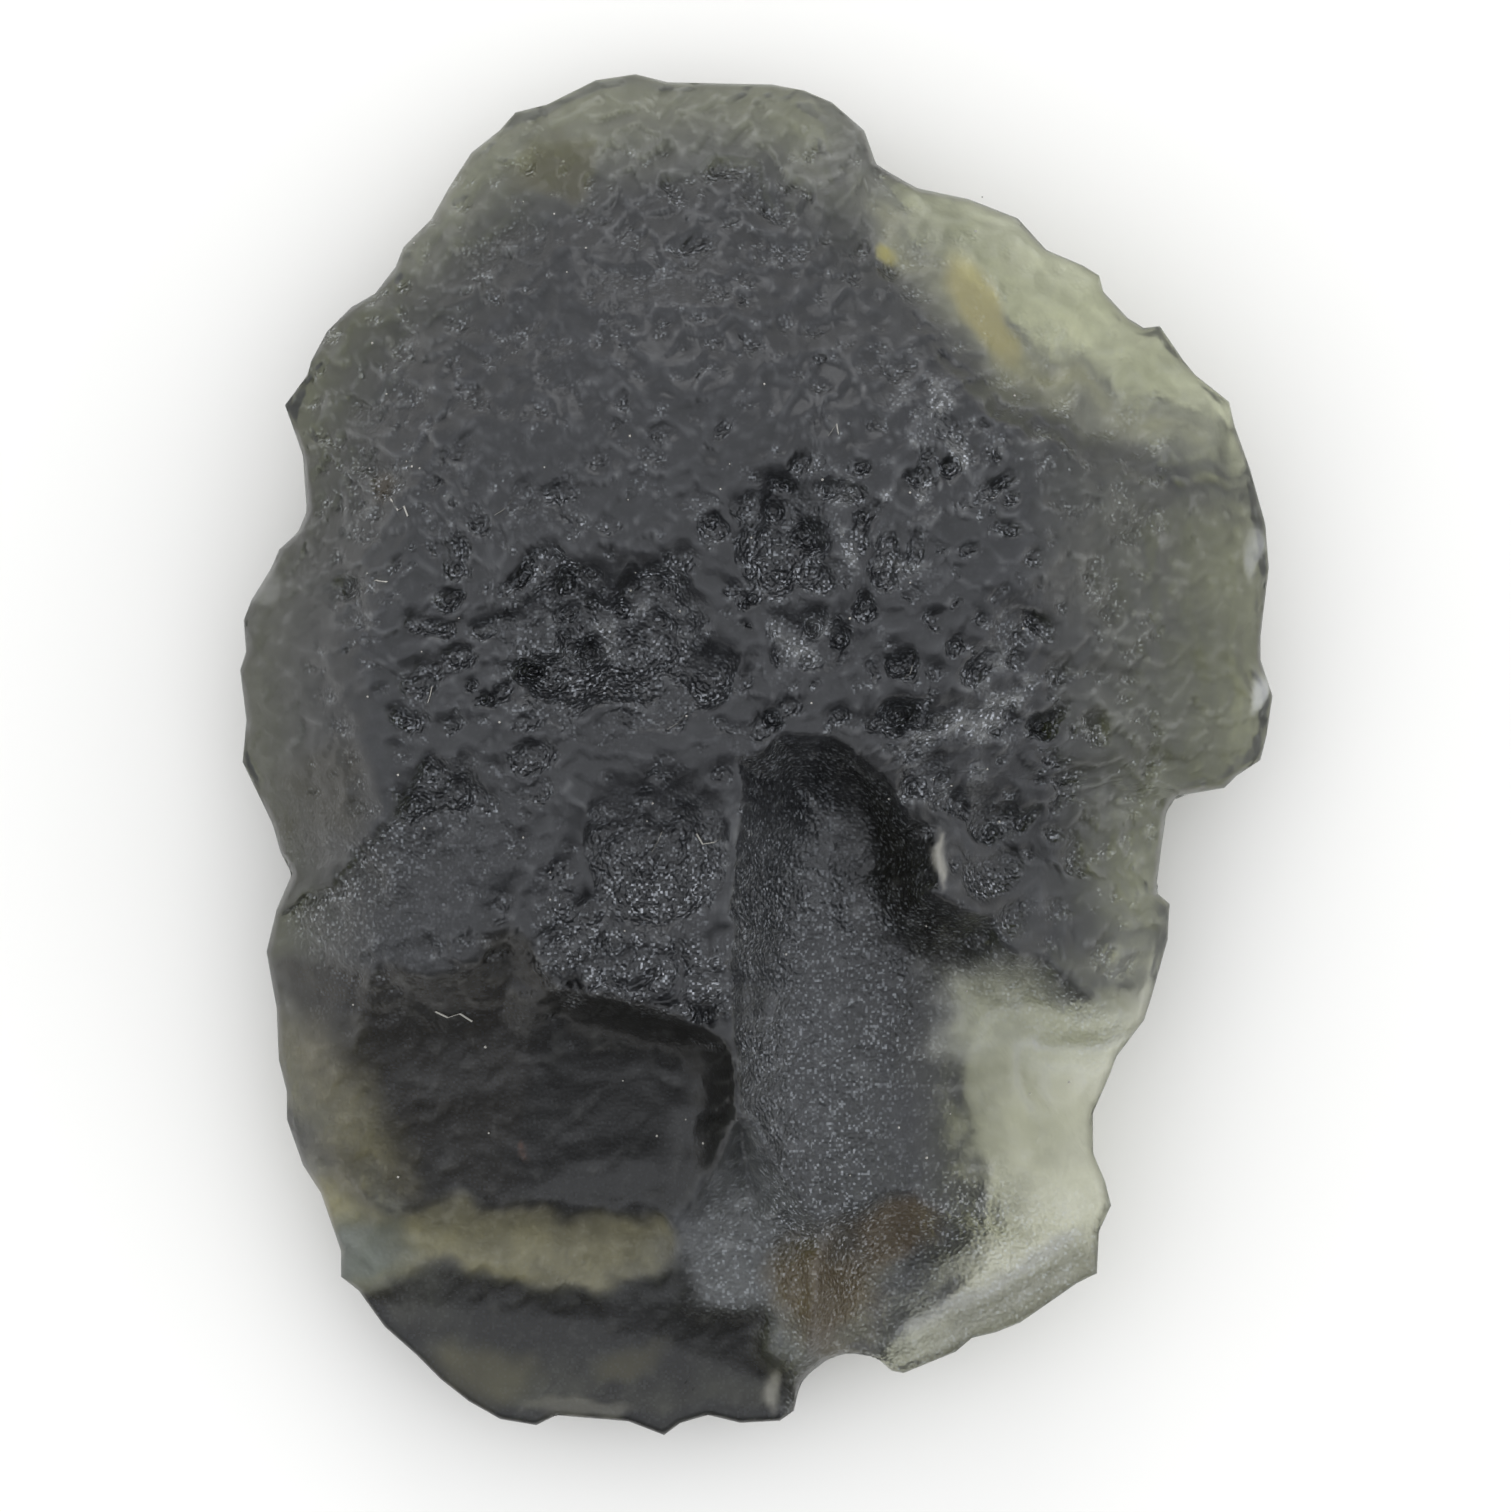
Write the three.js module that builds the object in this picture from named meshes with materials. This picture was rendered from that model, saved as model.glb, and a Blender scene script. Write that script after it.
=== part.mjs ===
// A moldavite: one etched lump of natural olive glass that lies on a small flat spot.
// Millimetres, +Z up. Seen from above, +Y is the long way of the stone and +X its width.
import * as THREE from "three";

// The lump: a gently domed upper face inside a bevel, widest along its rim
const CREST = 9.8;
const CREST_Y = 5.0;
const CREST_FALL = 0.16; // the crest sinks this much for each mm south of CREST_Y
const SHOULDER = 6.6; // height that the dome would have at the girth, without the bevel
const SHOULDER_FALL = 0.06;
const DOME_RUN = 9.0; // distance in from the girth over which the dome rises
const DOME_POWER = 1.5;
const RIM = 3.1; // height of the widest line of the stone
const RIM_FALL = 0.03;
const RIM_WAVES = [
  { height: 0.15, count: 3, turn: 0.6 },
  { height: 0.12, count: 7, turn: 1.9 },
];
const RIM_LIFTS = [
  // where the rim rises: height, direction from the middle and half width, both in degrees
  { height: 1.6, turn: 52, half: 22 },
  { height: 1.0, turn: -52, half: 20 },
];
const RIM_HALF = 0.22; // least glass above and below the rim
const BEVEL_START = 0.3; // height of the bevel above the rim at the girth
const BEVELS = [
  // direction from the middle in degrees, and the rise of the bevel for each mm inwards
  { turn: -180, slope: 1.5 },
  { turn: -140, slope: 1.3 },
  { turn: -100, slope: 1.2 },
  { turn: -60, slope: 1.0 },
  { turn: -20, slope: 0.65 },
  { turn: 10, slope: 0.7 },
  { turn: 40, slope: 0.8 },
  { turn: 75, slope: 0.85 },
  { turn: 100, slope: 0.8 },
  { turn: 125, slope: 1.0 },
  { turn: 150, slope: 1.3 },
  { turn: 180, slope: 1.5 },
];
const EDGE_ROUND = 0.15; // rounding of the rim: this, and a share of the height of the face above or below
const UPPER_SHARE = 0.06;
const LOWER_SHARE = 0.25;

// The underside: a flat oval to rest on, and a slow rise around it
const SPOT_AT = [-0.8, 0.5];
const SPOT_HALF_WIDTH = 4.2;
const SPOT_HALF_LENGTH = 6.2;
const BELLY = 0.19;

// The mesh: spacing of its vertices
const RIM_SPACING = 0.75;
const SIDE_STEPS = [0.006, 0.021, 0.045, 0.075]; // shares of the way in where the sides turn
const UPPER_RINGS = 26;
const LOWER_RINGS = 11;
const LOWER_SHARE_OF_POINTS = 0.6;
const WORN = 0.34; // each vertex takes the mean height of the glass within this radius
const WORN_SAMPLES = 8;

const GLASS_COLOUR = 0x3b3c34;
const GLASS_ROUGHNESS = 0.35;

// The outline from above, counter-clockwise from the top
const OUTLINE = [
  [-3.0, 17.0], [-4.0, 16.85], [-5.2, 16.25], [-6.0, 16.05], [-6.4, 15.6], [-7.1, 15.05], [-7.65, 14.2],
  [-8.1, 13.4], [-8.8, 12.7], [-9.0, 12.2], [-9.5, 11.55], [-10.1, 11.2], [-10.7, 10.6], [-11.1, 9.85],
  [-11.2, 9.5], [-11.75, 8.75], [-11.3, 7.5], [-11.2, 6.1], [-11.4, 5.6], [-11.9, 5.15], [-12.1, 4.7],
  [-12.6, 3.9], [-12.8, 3.4], [-12.75, 2.6], [-12.9, 2.15], [-12.75, 0.9], [-12.85, -0.15], [-12.1, -1.7],
  [-11.9, -2.4], [-11.6, -2.95], [-12.0, -3.85], [-12.25, -4.9], [-12.0, -6.3], [-11.95, -7.6],
  [-11.75, -8.4], [-11.75, -9.1], [-11.35, -10.25], [-10.9, -10.95], [-10.4, -12.4], [-10.4, -13.05],
  [-9.95, -13.4], [-9.3, -14.3], [-8.5, -15.0], [-7.9, -15.6], [-7.2, -16.15], [-6.4, -16.6],
  [-5.5, -16.75], [-5.0, -16.5], [-3.2, -16.65], [-2.3, -17.0], [-1.9, -16.7], [-1.2, -16.5], [-0.4, -16.7],
  [0.6, -16.65], [0.95, -16.4], [1.1, -15.75], [1.35, -15.45], [1.8, -15.1], [2.3, -14.95], [3.0, -15.05],
  [3.4, -15.4], [3.7, -15.45], [5.0, -14.9], [5.4, -14.55], [6.0, -14.4], [6.6, -14.15], [8.0, -13.15],
  [8.5, -12.9], [8.55, -11.85], [8.85, -11.2], [8.7, -10.6], [8.4, -9.9], [8.4, -8.9], [8.85, -7.9],
  [9.0, -7.5], [9.7, -6.6], [9.9, -6.0], [10.3, -4.6], [10.35, -3.7], [10.0, -3.4], [10.25, -1.4],
  [10.5, -1.0], [11.7, -0.8], [12.0, -0.5], [12.6, -0.1], [12.75, 0.5], [12.9, 1.5], [12.6, 2.4],
  [12.6, 3.0], [12.8, 4.7], [12.7, 5.8], [12.3, 7.15], [11.9, 8.2], [11.75, 8.8], [10.9, 9.45], [10.6, 9.8],
  [10.0, 10.65], [9.6, 10.6], [9.2, 10.85], [8.6, 11.5], [8.5, 11.9], [8.1, 12.15], [7.2, 12.55],
  [6.5, 13.35], [5.3, 13.85], [4.0, 14.15], [3.4, 14.5], [3.0, 14.75], [2.7, 15.6], [1.9, 16.3],
  [1.2, 16.6], [0.4, 16.75], [-2.2, 16.8],
];

// A calmer line along the outline, from which the dome and its bevel rise
const GIRTH = [
  [-3.0, 17.0], [-7.0, 15.2], [-10.8, 10.5], [-11.9, 7.0], [-12.9, 2.5], [-12.6, -1.0], [-12.2, -5.0],
  [-11.6, -9.5], [-10.2, -13.4], [-7.0, -16.3], [-2.0, -17.0], [1.2, -16.3], [5.0, -14.9], [8.6, -12.5],
  [9.0, -8.5], [10.2, -4.0], [12.3, -0.5], [12.9, 3.0], [12.0, 8.0], [9.6, 10.9], [6.5, 13.3], [2.9, 15.6],
  [0.5, 16.8],
];

// Scars: where the glass broke away. Each has an edge, a leaning floor (a point on it and its slope)
// and a hollow wall between them. An edge that leaves the outline runs out over it.
const UPPER_SCARS = {
  paleFlange: {
    edge: [
      [1.9, 15.6], [2.0, 14.0], [2.6, 12.7], [3.5, 11.0], [4.8, 9.2], [5.7, 8.3], [6.9, 7.7], [8.4, 7.0],
      [10.2, 6.5], [13, 5.8], [14, 10], [10.5, 14], [6, 17], [3, 18],
    ],
    floor: [7.6, 10.8, 5.75], slope: [-0.05, 0], wall: 2.4, power: 1.4,
  },
  bigScoop: {
    edge: [
      [-0.45, -0.1], [0.15, 0.2], [0.6, 0.5], [1.1, 0.62], [1.8, 0.48], [2.4, 0.1], [3.1, -0.35],
      [3.6, -0.95], [4.1, -1.7], [4.4, -2.4], [4.45, -3.0], [4.25, -3.4], [5.0, -3.6], [5.7, -3.8],
      [6.5, -4.9], [7.3, -5.1], [8.1, -5.6], [8.6, -6.3], [9.4, -6.7], [11, -7.2], [11, -10.5], [9, -18],
      [0.6, -18], [0.7, -14], [0.2, -11], [-0.2, -9.4], [-0.45, -8.5], [-0.6, -7.0], [-0.65, -5.0],
      [-0.6, -3.0], [-0.4, -1.5],
    ],
    floor: [2.0, -6.0, 5.5], slope: [-0.22, 0.04], wall: 2.0, power: 2.4,
  },
  southEastFloor: {
    edge: [
      [3.2, -4.4], [4.6, -4.5], [5.6, -4.8], [6.6, -5.4], [7.6, -5.8], [8.6, -6.5], [11, -7.0], [11, -12.2],
      [8.3, -12.0], [7.0, -11.9], [5.6, -11.5], [4.3, -11.3], [3.6, -10.4], [3.3, -9.0], [3.4, -7.6],
      [3.4, -6.0],
    ],
    floor: [6.5, -9.0, 4.35], slope: [-0.03, 0.02], wall: 2.0, power: 1.3,
  },
  southWest: {
    edge: [
      [-14, -5.4], [-12, -5.3], [-11, -5.1], [-9.8, -5.1], [-9.3, -5.3], [-8.3, -5.35], [-7.4, -5.1],
      [-6.9, -4.8], [-6.6, -4.3], [-6.0, -4.15], [-5.5, -4.5], [-5.1, -5.2], [-4.9, -5.6], [-4.3, -5.8],
      [-3.3, -6.05], [-2.2, -6.2], [-1.4, -6.4], [-0.9, -6.9], [-0.6, -7.6], [-0.4, -8.9], [0.5, -10.2],
      [1.3, -11.3], [1.5, -13], [1.3, -18], [-14, -18],
    ],
    floor: [-6.0, -8.0, 5.4], slope: [0.12, 0.36], wall: 1.0, power: 2.2,
  },
  blackHollow: {
    edge: [
      [-5.05, -5.5], [-4.3, -5.75], [-3.3, -6.05], [-2.2, -6.2], [-1.4, -6.4], [-0.9, -6.8], [-0.55, -7.6],
      [-0.4, -8.9], [-1.0, -10.0], [-1.7, -11.2], [-3.4, -11.5], [-5, -11.3], [-5.9, -11.0], [-5.85, -8.6],
      [-5.6, -7.5], [-5.4, -6.5],
    ],
    floor: [-3.0, -8.7, 4.9], slope: [0.03, 0.4], wall: 1.0, power: 2.2,
  },
  gully: {
    edge: [
      [-0.35, -8.8], [0.0, -9.1], [0.6, -10.0], [1.3, -11.2], [1.9, -11.7], [1.5, -13.4], [1.1, -15.3],
      [0.3, -15.2], [-2.2, -14.4], [-2.0, -12.6], [-1.7, -11.3], [-1.0, -10.0],
    ],
    floor: [-0.3, -11.6, 4.0], slope: [0.1, -0.08], wall: 0.8, power: 2.0,
  },
  terrace: {
    edge: [
      [-14, -10.5], [-11.4, -10.2], [-10.2, -10.4], [-9.3, -11.4], [-8.7, -11.3], [-7.9, -10.9],
      [-7.0, -11.2], [-6.0, -11.05], [-5, -11.0], [-3.4, -11.35], [-3.0, -11.0], [-2.2, -11.2],
      [-1.7, -11.9], [-2.0, -13], [-2, -18], [-14, -18],
    ],
    floor: [-6.0, -12.2, 3.6], slope: [0.02, -0.05], wall: 0.6, power: 2.0,
  },
  skirt: {
    edge: [
      [-12, -13.6], [-10, -13.3], [-9, -13.1], [-8.4, -12.7], [-7.5, -12.7], [-6.5, -13.0], [-4.8, -13.5],
      [-4, -13.5], [-3, -13.1], [-2.2, -12.8], [-1.6, -13.8], [0.15, -13.7], [0.3, -14.8], [1.0, -15.4],
      [1.5, -18], [-12, -18],
    ],
    floor: [-4.0, -15.0, 3.1], slope: [0.03, 0.4], wall: 0.7, power: 2.0,
  },
  brownStep: {
    edge: [
      [1.5, -11.4], [2.4, -11.3], [2.8, -10.9], [3.4, -10.75], [4.0, -10.95], [4.6, -11.4], [5.6, -11.5],
      [7, -11.9], [8.3, -12.0], [11, -12], [10, -18], [1.0, -18], [1.1, -15.4], [1.6, -13],
    ],
    floor: [4.0, -13.0, 3.4], slope: [-0.12, 0.1], wall: 0.8, power: 2.0,
  },
};

// Hollows of the underside, which leave the glass thin and pale above them
const LOWER_SCARS = {
  underFlange: {
    edge: [
      [0.8, 18], [1.6, 13.6], [2.2, 12.2], [3.1, 10.5], [4.4, 8.7], [5.2, 7.9], [6.4, 7.2], [8.1, 6.5],
      [9.8, 5.9], [14, 5.2], [14, 14],
    ],
    floor: [7.6, 10.8, 4.4], slope: [-0.1, 0.1], wall: 3.0, power: 1.3,
  },
  underScoop: {
    edge: [
      [2.6, -4], [2.7, -5.7], [2.8, -6.6], [2.7, -8], [2.6, -9], [3, -10.4], [3.6, -11.6], [3.4, -12.6],
      [2.6, -13.4], [2.2, -16], [10, -16], [12, -9], [11, -4.6], [8.4, -3.8], [6, -3.2], [4, -3.2],
    ],
    floor: [7.0, -9.0, 3.2], slope: [0.03, 0], wall: 2.6, power: 1.3,
  },
  underTerrace: {
    edge: [
      [-14, -7.6], [-10.4, -9.2], [-8.6, -10.4], [-6, -10.3], [-4, -10.7], [-2, -11], [-1.6, -12.6],
      [-3.2, -13.6], [-5, -13.9], [-7, -13.4], [-9, -13.5], [-14, -13.9],
    ],
    floor: [-6.0, -12.0, 1.9], slope: [-0.05, 0], wall: 1.5, power: 1.5,
  },
};

// Etched pits: middle x and y, half width, half length, turn in degrees, depth
const UPPER_PITS = [
  [-3.6, 3.0, 2.7, 1.9, 10, 1.1],
  [-2.3, 2.0, 1.9, 1.4, 0, 0.5],
  [-4.9, 1.6, 1.4, 1.0, 20, 0.4],
  [-2.45, -2.25, 1.9, 2.05, 0, 0.95],
  [-1.1, 2.0, 0.65, 0.8, 0, 0.5],
  [0.6, 5.4, 1.2, 1.75, 0, 0.8],
  [1.4, 2.7, 1.5, 0.7, 0, 0.3],
  [4.15, -0.5, 0.65, 0.7, 0, 0.4],
  [5.9, -1.4, 0.95, 0.7, -30, 0.35],
  [5.8, -2.75, 0.8, 0.75, 0, 0.35],
  [6.2, 3.1, 0.7, 0.7, 0, 0.25],
  [-5.4, 0.0, 0.6, 0.55, 0, 0.4],
  [-7.3, -0.9, 0.75, 0.5, 15, 0.3],
  [-8.5, -1.2, 0.5, 0.45, 0, 0.25],
  [-9.0, 6.8, 0.6, 0.5, 0, 0.3],
  [-11.3, -1.0, 2.2, 2.0, 0, 0.4],
];
const LOWER_PITS = [
  [-8.5, 7.5, 2.2, 1.6, 25, 0.5],
  [-4.0, 12.0, 1.8, 2.3, -20, 0.6],
  [0.5, 13.2, 1.3, 1.6, 0, 0.4],
  [-9.6, 1.0, 1.5, 2.1, 10, 0.5],
  [-8.8, -4.8, 1.9, 1.4, -15, 0.5],
  [-4.2, -9.2, 2.2, 1.5, 5, 0.45],
  [1.4, -11.4, 1.6, 2.0, 20, 0.5],
  [8.2, -1.8, 1.6, 2.2, -10, 0.5],
  [9.6, 4.2, 1.4, 2.4, 5, 0.6],
  [-4.8, -15.0, 2.1, 0.9, 0, 0.3],
];

// Ledges: the glass on the right of the line drops, then comes back over the reach
const LEDGES = [
  { line: [[-6.2, 4.5], [-5.3, 5.0], [-4, 4.7], [-3.5, 4.5]], drop: 0.5, reach: 1.0 },
  { line: [[-3.4, 4.35], [-2.5, 4.7], [-1.3, 4.35]], drop: 0.5, reach: 1.0 },
  { line: [[-6.6, 2.4], [-5, 2.3], [-4, 2.75], [-3.4, 2.3]], drop: 0.35, reach: 0.8 },
  { line: [[-12.1, -3.9], [-10.2, -3.0], [-9.7, -2.2], [-9.0, -1.4], [-8.0, 0.3]], drop: 0.35, reach: 1.6 },
  { line: [[0.3, -0.85], [1.1, -0.7], [2.1, -0.95]], drop: 0.3, reach: 0.8 },
  { line: [[0.0, 3.4], [1.2, 3.45], [2.6, 3.35]], drop: 0.25, reach: 0.8 },
  { line: [[-7.7, 12.75], [-6.9, 12.7], [-5.9, 13.2], [-4.9, 13.3]], drop: 0.2, reach: 0.7 },
  { line: [[-10.4, 8.8], [-9.6, 8.85], [-8.5, 9.8]], drop: 0.2, reach: 0.7 },
  { line: [[-4.1, 12.1], [-3.6, 11.9], [-1.9, 11.95], [-1.6, 12.3]], drop: 0.2, reach: 0.7 },
];
const LEDGE_FACE = 0.3; // width of the steep face below a ledge's line
const LEDGE_FADE = 0.6; // a ledge dies out over this length at its ends

// Packed shallow dimples all over the upper face
const DIMPLE_WIDTH = 2.4;
const DIMPLE_LENGTH = 1.4;
const DIMPLE_DEPTH = 0.3;
const DIMPLE_CAP = 0.75; // no ridge between dimples is higher than this share of the depth
const DIMPLE_PLAY = 0.8; // share of its cell over which the middle of a dimple may lie

const WANDER = 0.05; // sideways shift of scar, pit and ledge edges

const TAU = 2 * Math.PI;

function clamp(value, low, high) {
  return Math.min(Math.max(value, low), high);
}

// 0 at no distance, 1 past the run, steepest at the start
function ease(distance, run, power) {
  return 1 - (1 - clamp(distance / run, 0, 1)) ** power;
}

// The nearest place to (x, y) on the straight stretch from a to b
function nearestOn(x, y, a, b) {
  const along = [b[0] - a[0], b[1] - a[1]];
  const share = clamp(
    ((x - a[0]) * along[0] + (y - a[1]) * along[1]) / (along[0] ** 2 + along[1] ** 2),
    0,
    1,
  );
  const gap = Math.hypot(x - a[0] - share * along[0], y - a[1] - share * along[1]);
  const onRight = (x - a[0]) * along[1] - (y - a[1]) * along[0] > 0;
  return { gap, onRight, run: share * Math.hypot(along[0], along[1]) };
}

// Distance from (x, y) to a closed loop, positive inside it
function depthInside(x, y, loop) {
  let nearest = Infinity;
  let inside = false;
  loop.forEach((a, i) => {
    const b = loop[(i + 1) % loop.length];
    nearest = Math.min(nearest, nearestOn(x, y, a, b).gap);
    const spans = a[1] > y !== b[1] > y;
    if (spans && x < ((b[0] - a[0]) * (y - a[1])) / (b[1] - a[1]) + a[0]) {
      inside = !inside;
    }
  });
  return inside ? nearest : -nearest;
}

// How far the ledge lowers the glass at (x, y)
function ledgeDrop(x, y, { line, drop, reach }) {
  let nearest = { gap: Infinity };
  let start = 0;
  for (let i = 0; i + 1 < line.length; i += 1) {
    const found = nearestOn(x, y, line[i], line[i + 1]);
    if (found.gap < nearest.gap) {
      nearest = { ...found, run: start + found.run };
    }
    start += Math.hypot(line[i + 1][0] - line[i][0], line[i + 1][1] - line[i][1]);
  }
  if (!nearest.onRight) {
    return 0;
  }
  const toEnd = Math.min(nearest.run, start - nearest.run);
  const face = clamp(nearest.gap / LEDGE_FACE, 0, 1);
  return drop * face * Math.exp(-nearest.gap / reach) * clamp(toEnd / LEDGE_FADE, 0, 1);
}

function pitDepth(x, y, [middleX, middleY, halfWidth, halfLength, turn, depth]) {
  const angle = THREE.MathUtils.degToRad(turn);
  const across = ((x - middleX) * Math.cos(angle) + (y - middleY) * Math.sin(angle)) / halfWidth;
  const along = ((y - middleY) * Math.cos(angle) - (x - middleX) * Math.sin(angle)) / halfLength;
  return depth * Math.max(0, 1 - across ** 2 - along ** 2);
}

// A repeatable scatter value from 0 to 1 for one cell of the dimple pattern
function scatter(column, row, salt) {
  const value = Math.sin(column * 127.1 + row * 311.7 + salt * 74.7) * 43758.5453;
  return value - Math.floor(value);
}

// Height of the dimple pattern: 0 in the middle of a dimple, rising to the ridge around it
function dimpleRise(x, y) {
  const column = Math.floor(x / DIMPLE_WIDTH);
  const row = Math.floor(y / DIMPLE_LENGTH);
  let nearest = DIMPLE_CAP;
  for (let i = column - 1; i <= column + 1; i += 1) {
    for (let j = row - 1; j <= row + 1; j += 1) {
      const middleX = i + 0.5 + DIMPLE_PLAY * (scatter(i, j, 3) - 0.5);
      const middleY = j + 0.5 + DIMPLE_PLAY * (scatter(i, j, 4) - 0.5);
      const squared = (x / DIMPLE_WIDTH - middleX) ** 2 + (y / DIMPLE_LENGTH - middleY) ** 2;
      nearest = Math.min(nearest, squared);
    }
  }
  return nearest * DIMPLE_DEPTH;
}

// Small sideways shifts that make every edge wander as a broken edge does
function wander(x, y) {
  const shiftX = Math.sin(1.9 * y + 0.7 * x) + 0.6 * Math.sin(3.7 * y - 2.3 * x + 1.3);
  const shiftY = Math.sin(2.1 * x - 0.6 * y + 0.4) + 0.6 * Math.sin(4.1 * x + 2.2 * y + 2.1);
  return [x + WANDER * shiftX, y + WANDER * shiftY];
}

function rimHeight(x, y) {
  const angle = Math.atan2(y, x);
  let height = RIM + RIM_FALL * y;
  for (const wave of RIM_WAVES) {
    height += wave.height * Math.sin(wave.count * angle + wave.turn);
  }
  for (const lift of RIM_LIFTS) {
    height += lift.height * Math.exp(-(((THREE.MathUtils.radToDeg(angle) - lift.turn) / lift.half) ** 2));
  }
  return height;
}

// How steeply the bevel rises in the direction of (x, y)
function bevelSlope(x, y) {
  const turn = THREE.MathUtils.radToDeg(Math.atan2(y, x));
  const after = Math.max(BEVELS.findIndex((bevel) => bevel.turn >= turn), 1);
  const from = BEVELS[after - 1];
  const to = BEVELS[after];
  return THREE.MathUtils.lerp(from.slope, to.slope, (turn - from.turn) / (to.turn - from.turn));
}

function scarFloor(x, y, { floor, slope }) {
  return floor[2] + slope[0] * (x - floor[0]) + slope[1] * (y - floor[1]);
}

// Rounds a face into the rim: an ellipse from the rim up or down to the face
function intoRim(face, rim, distance, share) {
  const width = EDGE_ROUND + share * Math.abs(face - rim);
  const left = 1 - clamp(distance / width, 0, 1);
  return rim + (face - rim) * Math.sqrt(1 - left ** 2);
}

function upperHeight(x, y) {
  const distance = Math.max(depthInside(x, y, OUTLINE), 0);
  const southing = Math.min(y - CREST_Y, 0);
  const crest = CREST + CREST_FALL * southing;
  const shoulder = SHOULDER + SHOULDER_FALL * southing;
  const [edgeX, edgeY] = wander(x, y);
  const rim = rimHeight(x, y);
  const inGirth = Math.max(depthInside(x, y, GIRTH), 0);
  const dome = shoulder + (crest - shoulder) * ease(inGirth, DOME_RUN, DOME_POWER);
  let height = Math.min(dome, rim + BEVEL_START + bevelSlope(x, y) * inGirth);
  for (const scar of Object.values(UPPER_SCARS)) {
    const cut = Math.min(scarFloor(x, y, scar), height) - height;
    height += cut * ease(Math.max(depthInside(edgeX, edgeY, scar.edge), 0), scar.wall, scar.power);
  }
  for (const pit of UPPER_PITS) {
    height -= pitDepth(edgeX, edgeY, pit);
  }
  for (const ledge of LEDGES) {
    height -= ledgeDrop(edgeX, edgeY, ledge);
  }
  height += dimpleRise(edgeX, edgeY) - DIMPLE_DEPTH / 4;
  return intoRim(Math.max(height, rim + RIM_HALF), rim, distance, UPPER_SHARE);
}

function lowerHeight(x, y) {
  const distance = Math.max(depthInside(x, y, OUTLINE), 0);
  const spotX = (x - SPOT_AT[0]) / SPOT_HALF_WIDTH;
  const spotY = (y - SPOT_AT[1]) / SPOT_HALF_LENGTH;
  const beyondSpot = Math.max(spotX ** 2 + spotY ** 2 - 1, 0);
  let height = BELLY * beyondSpot;
  const [edgeX, edgeY] = wander(x, y);
  for (const scar of Object.values(LOWER_SCARS)) {
    const cut = Math.max(scarFloor(x, y, scar), height) - height;
    height += cut * ease(Math.max(depthInside(edgeX, edgeY, scar.edge), 0), scar.wall, scar.power);
  }
  for (const pit of LOWER_PITS) {
    height += pitDepth(x, y, pit) * Math.min(beyondSpot, 1);
  }
  const rim = rimHeight(x, y);
  return intoRim(Math.min(height, rim - RIM_HALF), rim, distance, LOWER_SHARE);
}

// Mean height around a place, so that steep walls and lips are worn and not saw-toothed
function worn(heightAt) {
  return (x, y) => {
    const radius = Math.min(WORN, Math.max(depthInside(x, y, OUTLINE), 0));
    let sum = heightAt(x, y);
    for (let k = 0; k < WORN_SAMPLES; k += 1) {
      const angle = (TAU * k) / WORN_SAMPLES;
      sum += heightAt(x + radius * Math.cos(angle), y + radius * Math.sin(angle));
    }
    return sum / (WORN_SAMPLES + 1);
  };
}

// The rim's own points: every outline point, and more along the long stretches
function rimPoints() {
  return OUTLINE.flatMap((a, i) => {
    const b = OUTLINE[(i + 1) % OUTLINE.length];
    const pieces = Math.ceil(Math.hypot(b[0] - a[0], b[1] - a[1]) / RIM_SPACING);
    return Array.from({ length: pieces }, (_, k) => [
      a[0] + ((b[0] - a[0]) * k) / pieces,
      a[1] + ((b[1] - a[1]) * k) / pieces,
    ]);
  });
}

// A place on the outline, by its share of the rim's points
function placeOnRim(rim, share) {
  const at = share * rim.length;
  const from = Math.floor(at) % rim.length;
  const to = (from + 1) % rim.length;
  const part = at - Math.floor(at);
  return [0, 1].map((axis) => THREE.MathUtils.lerp(rim[from][axis], rim[to][axis], part));
}

// Where the line from the flat spot's middle to a rim place crosses the spot's oval
function placeOnSpot([x, y]) {
  const across = (x - SPOT_AT[0]) / SPOT_HALF_WIDTH;
  const along = (y - SPOT_AT[1]) / SPOT_HALF_LENGTH;
  const reach = Math.hypot(across, along);
  return [SPOT_AT[0] + (x - SPOT_AT[0]) / reach, SPOT_AT[1] + (y - SPOT_AT[1]) / reach];
}

// Shares of the way in from the rim: close together where the sides turn, then even
function ringShares(rings) {
  const last = SIDE_STEPS[SIDE_STEPS.length - 1];
  const even = Array.from({ length: rings }, (_, k) => last + ((1 - last) * (k + 1)) / rings);
  return [...SIDE_STEPS, ...even];
}

// Collects vertices and triangles of the stone's skin
class Skin {
  positions = [];
  triangles = [];

  addRing(places, heightAt, shares) {
    return places.map(([x, y], i) => {
      this.positions.push(x, y, heightAt(x, y));
      return { index: this.positions.length / 3 - 1, share: shares[i] };
    });
  }

  // Fills the band between two rings, always stepping on the ring that is behind
  stitch(outer, inner, faceUp) {
    let i = 0;
    let j = 0;
    const shareAt = (ring, k) => ring[k % ring.length].share + Math.floor(k / ring.length);
    while (i < outer.length || j < inner.length) {
      const a = outer[i % outer.length].index;
      const b = inner[j % inner.length].index;
      const outerBehind = i < outer.length && shareAt(outer, i + 1) <= shareAt(inner, j + 1);
      const stepOuter = j >= inner.length || outerBehind;
      const next = stepOuter ? outer[(i + 1) % outer.length].index : inner[(j + 1) % inner.length].index;
      this.triangles.push(...(faceUp ? [a, next, b] : [a, b, next]));
      if (stepOuter) {
        i += 1;
      } else {
        j += 1;
      }
    }
  }

  close(ring, [x, y], height, faceUp) {
    this.positions.push(x, y, height);
    const middle = this.positions.length / 3 - 1;
    ring.forEach(({ index }, i) => {
      const next = ring[(i + 1) % ring.length].index;
      this.triangles.push(...(faceUp ? [index, next, middle] : [index, middle, next]));
    });
  }

  geometry() {
    const made = new THREE.BufferGeometry();
    made.setAttribute("position", new THREE.Float32BufferAttribute(this.positions, 3));
    made.setIndex(this.triangles);
    made.computeVertexNormals();
    return made;
  }
}

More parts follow.
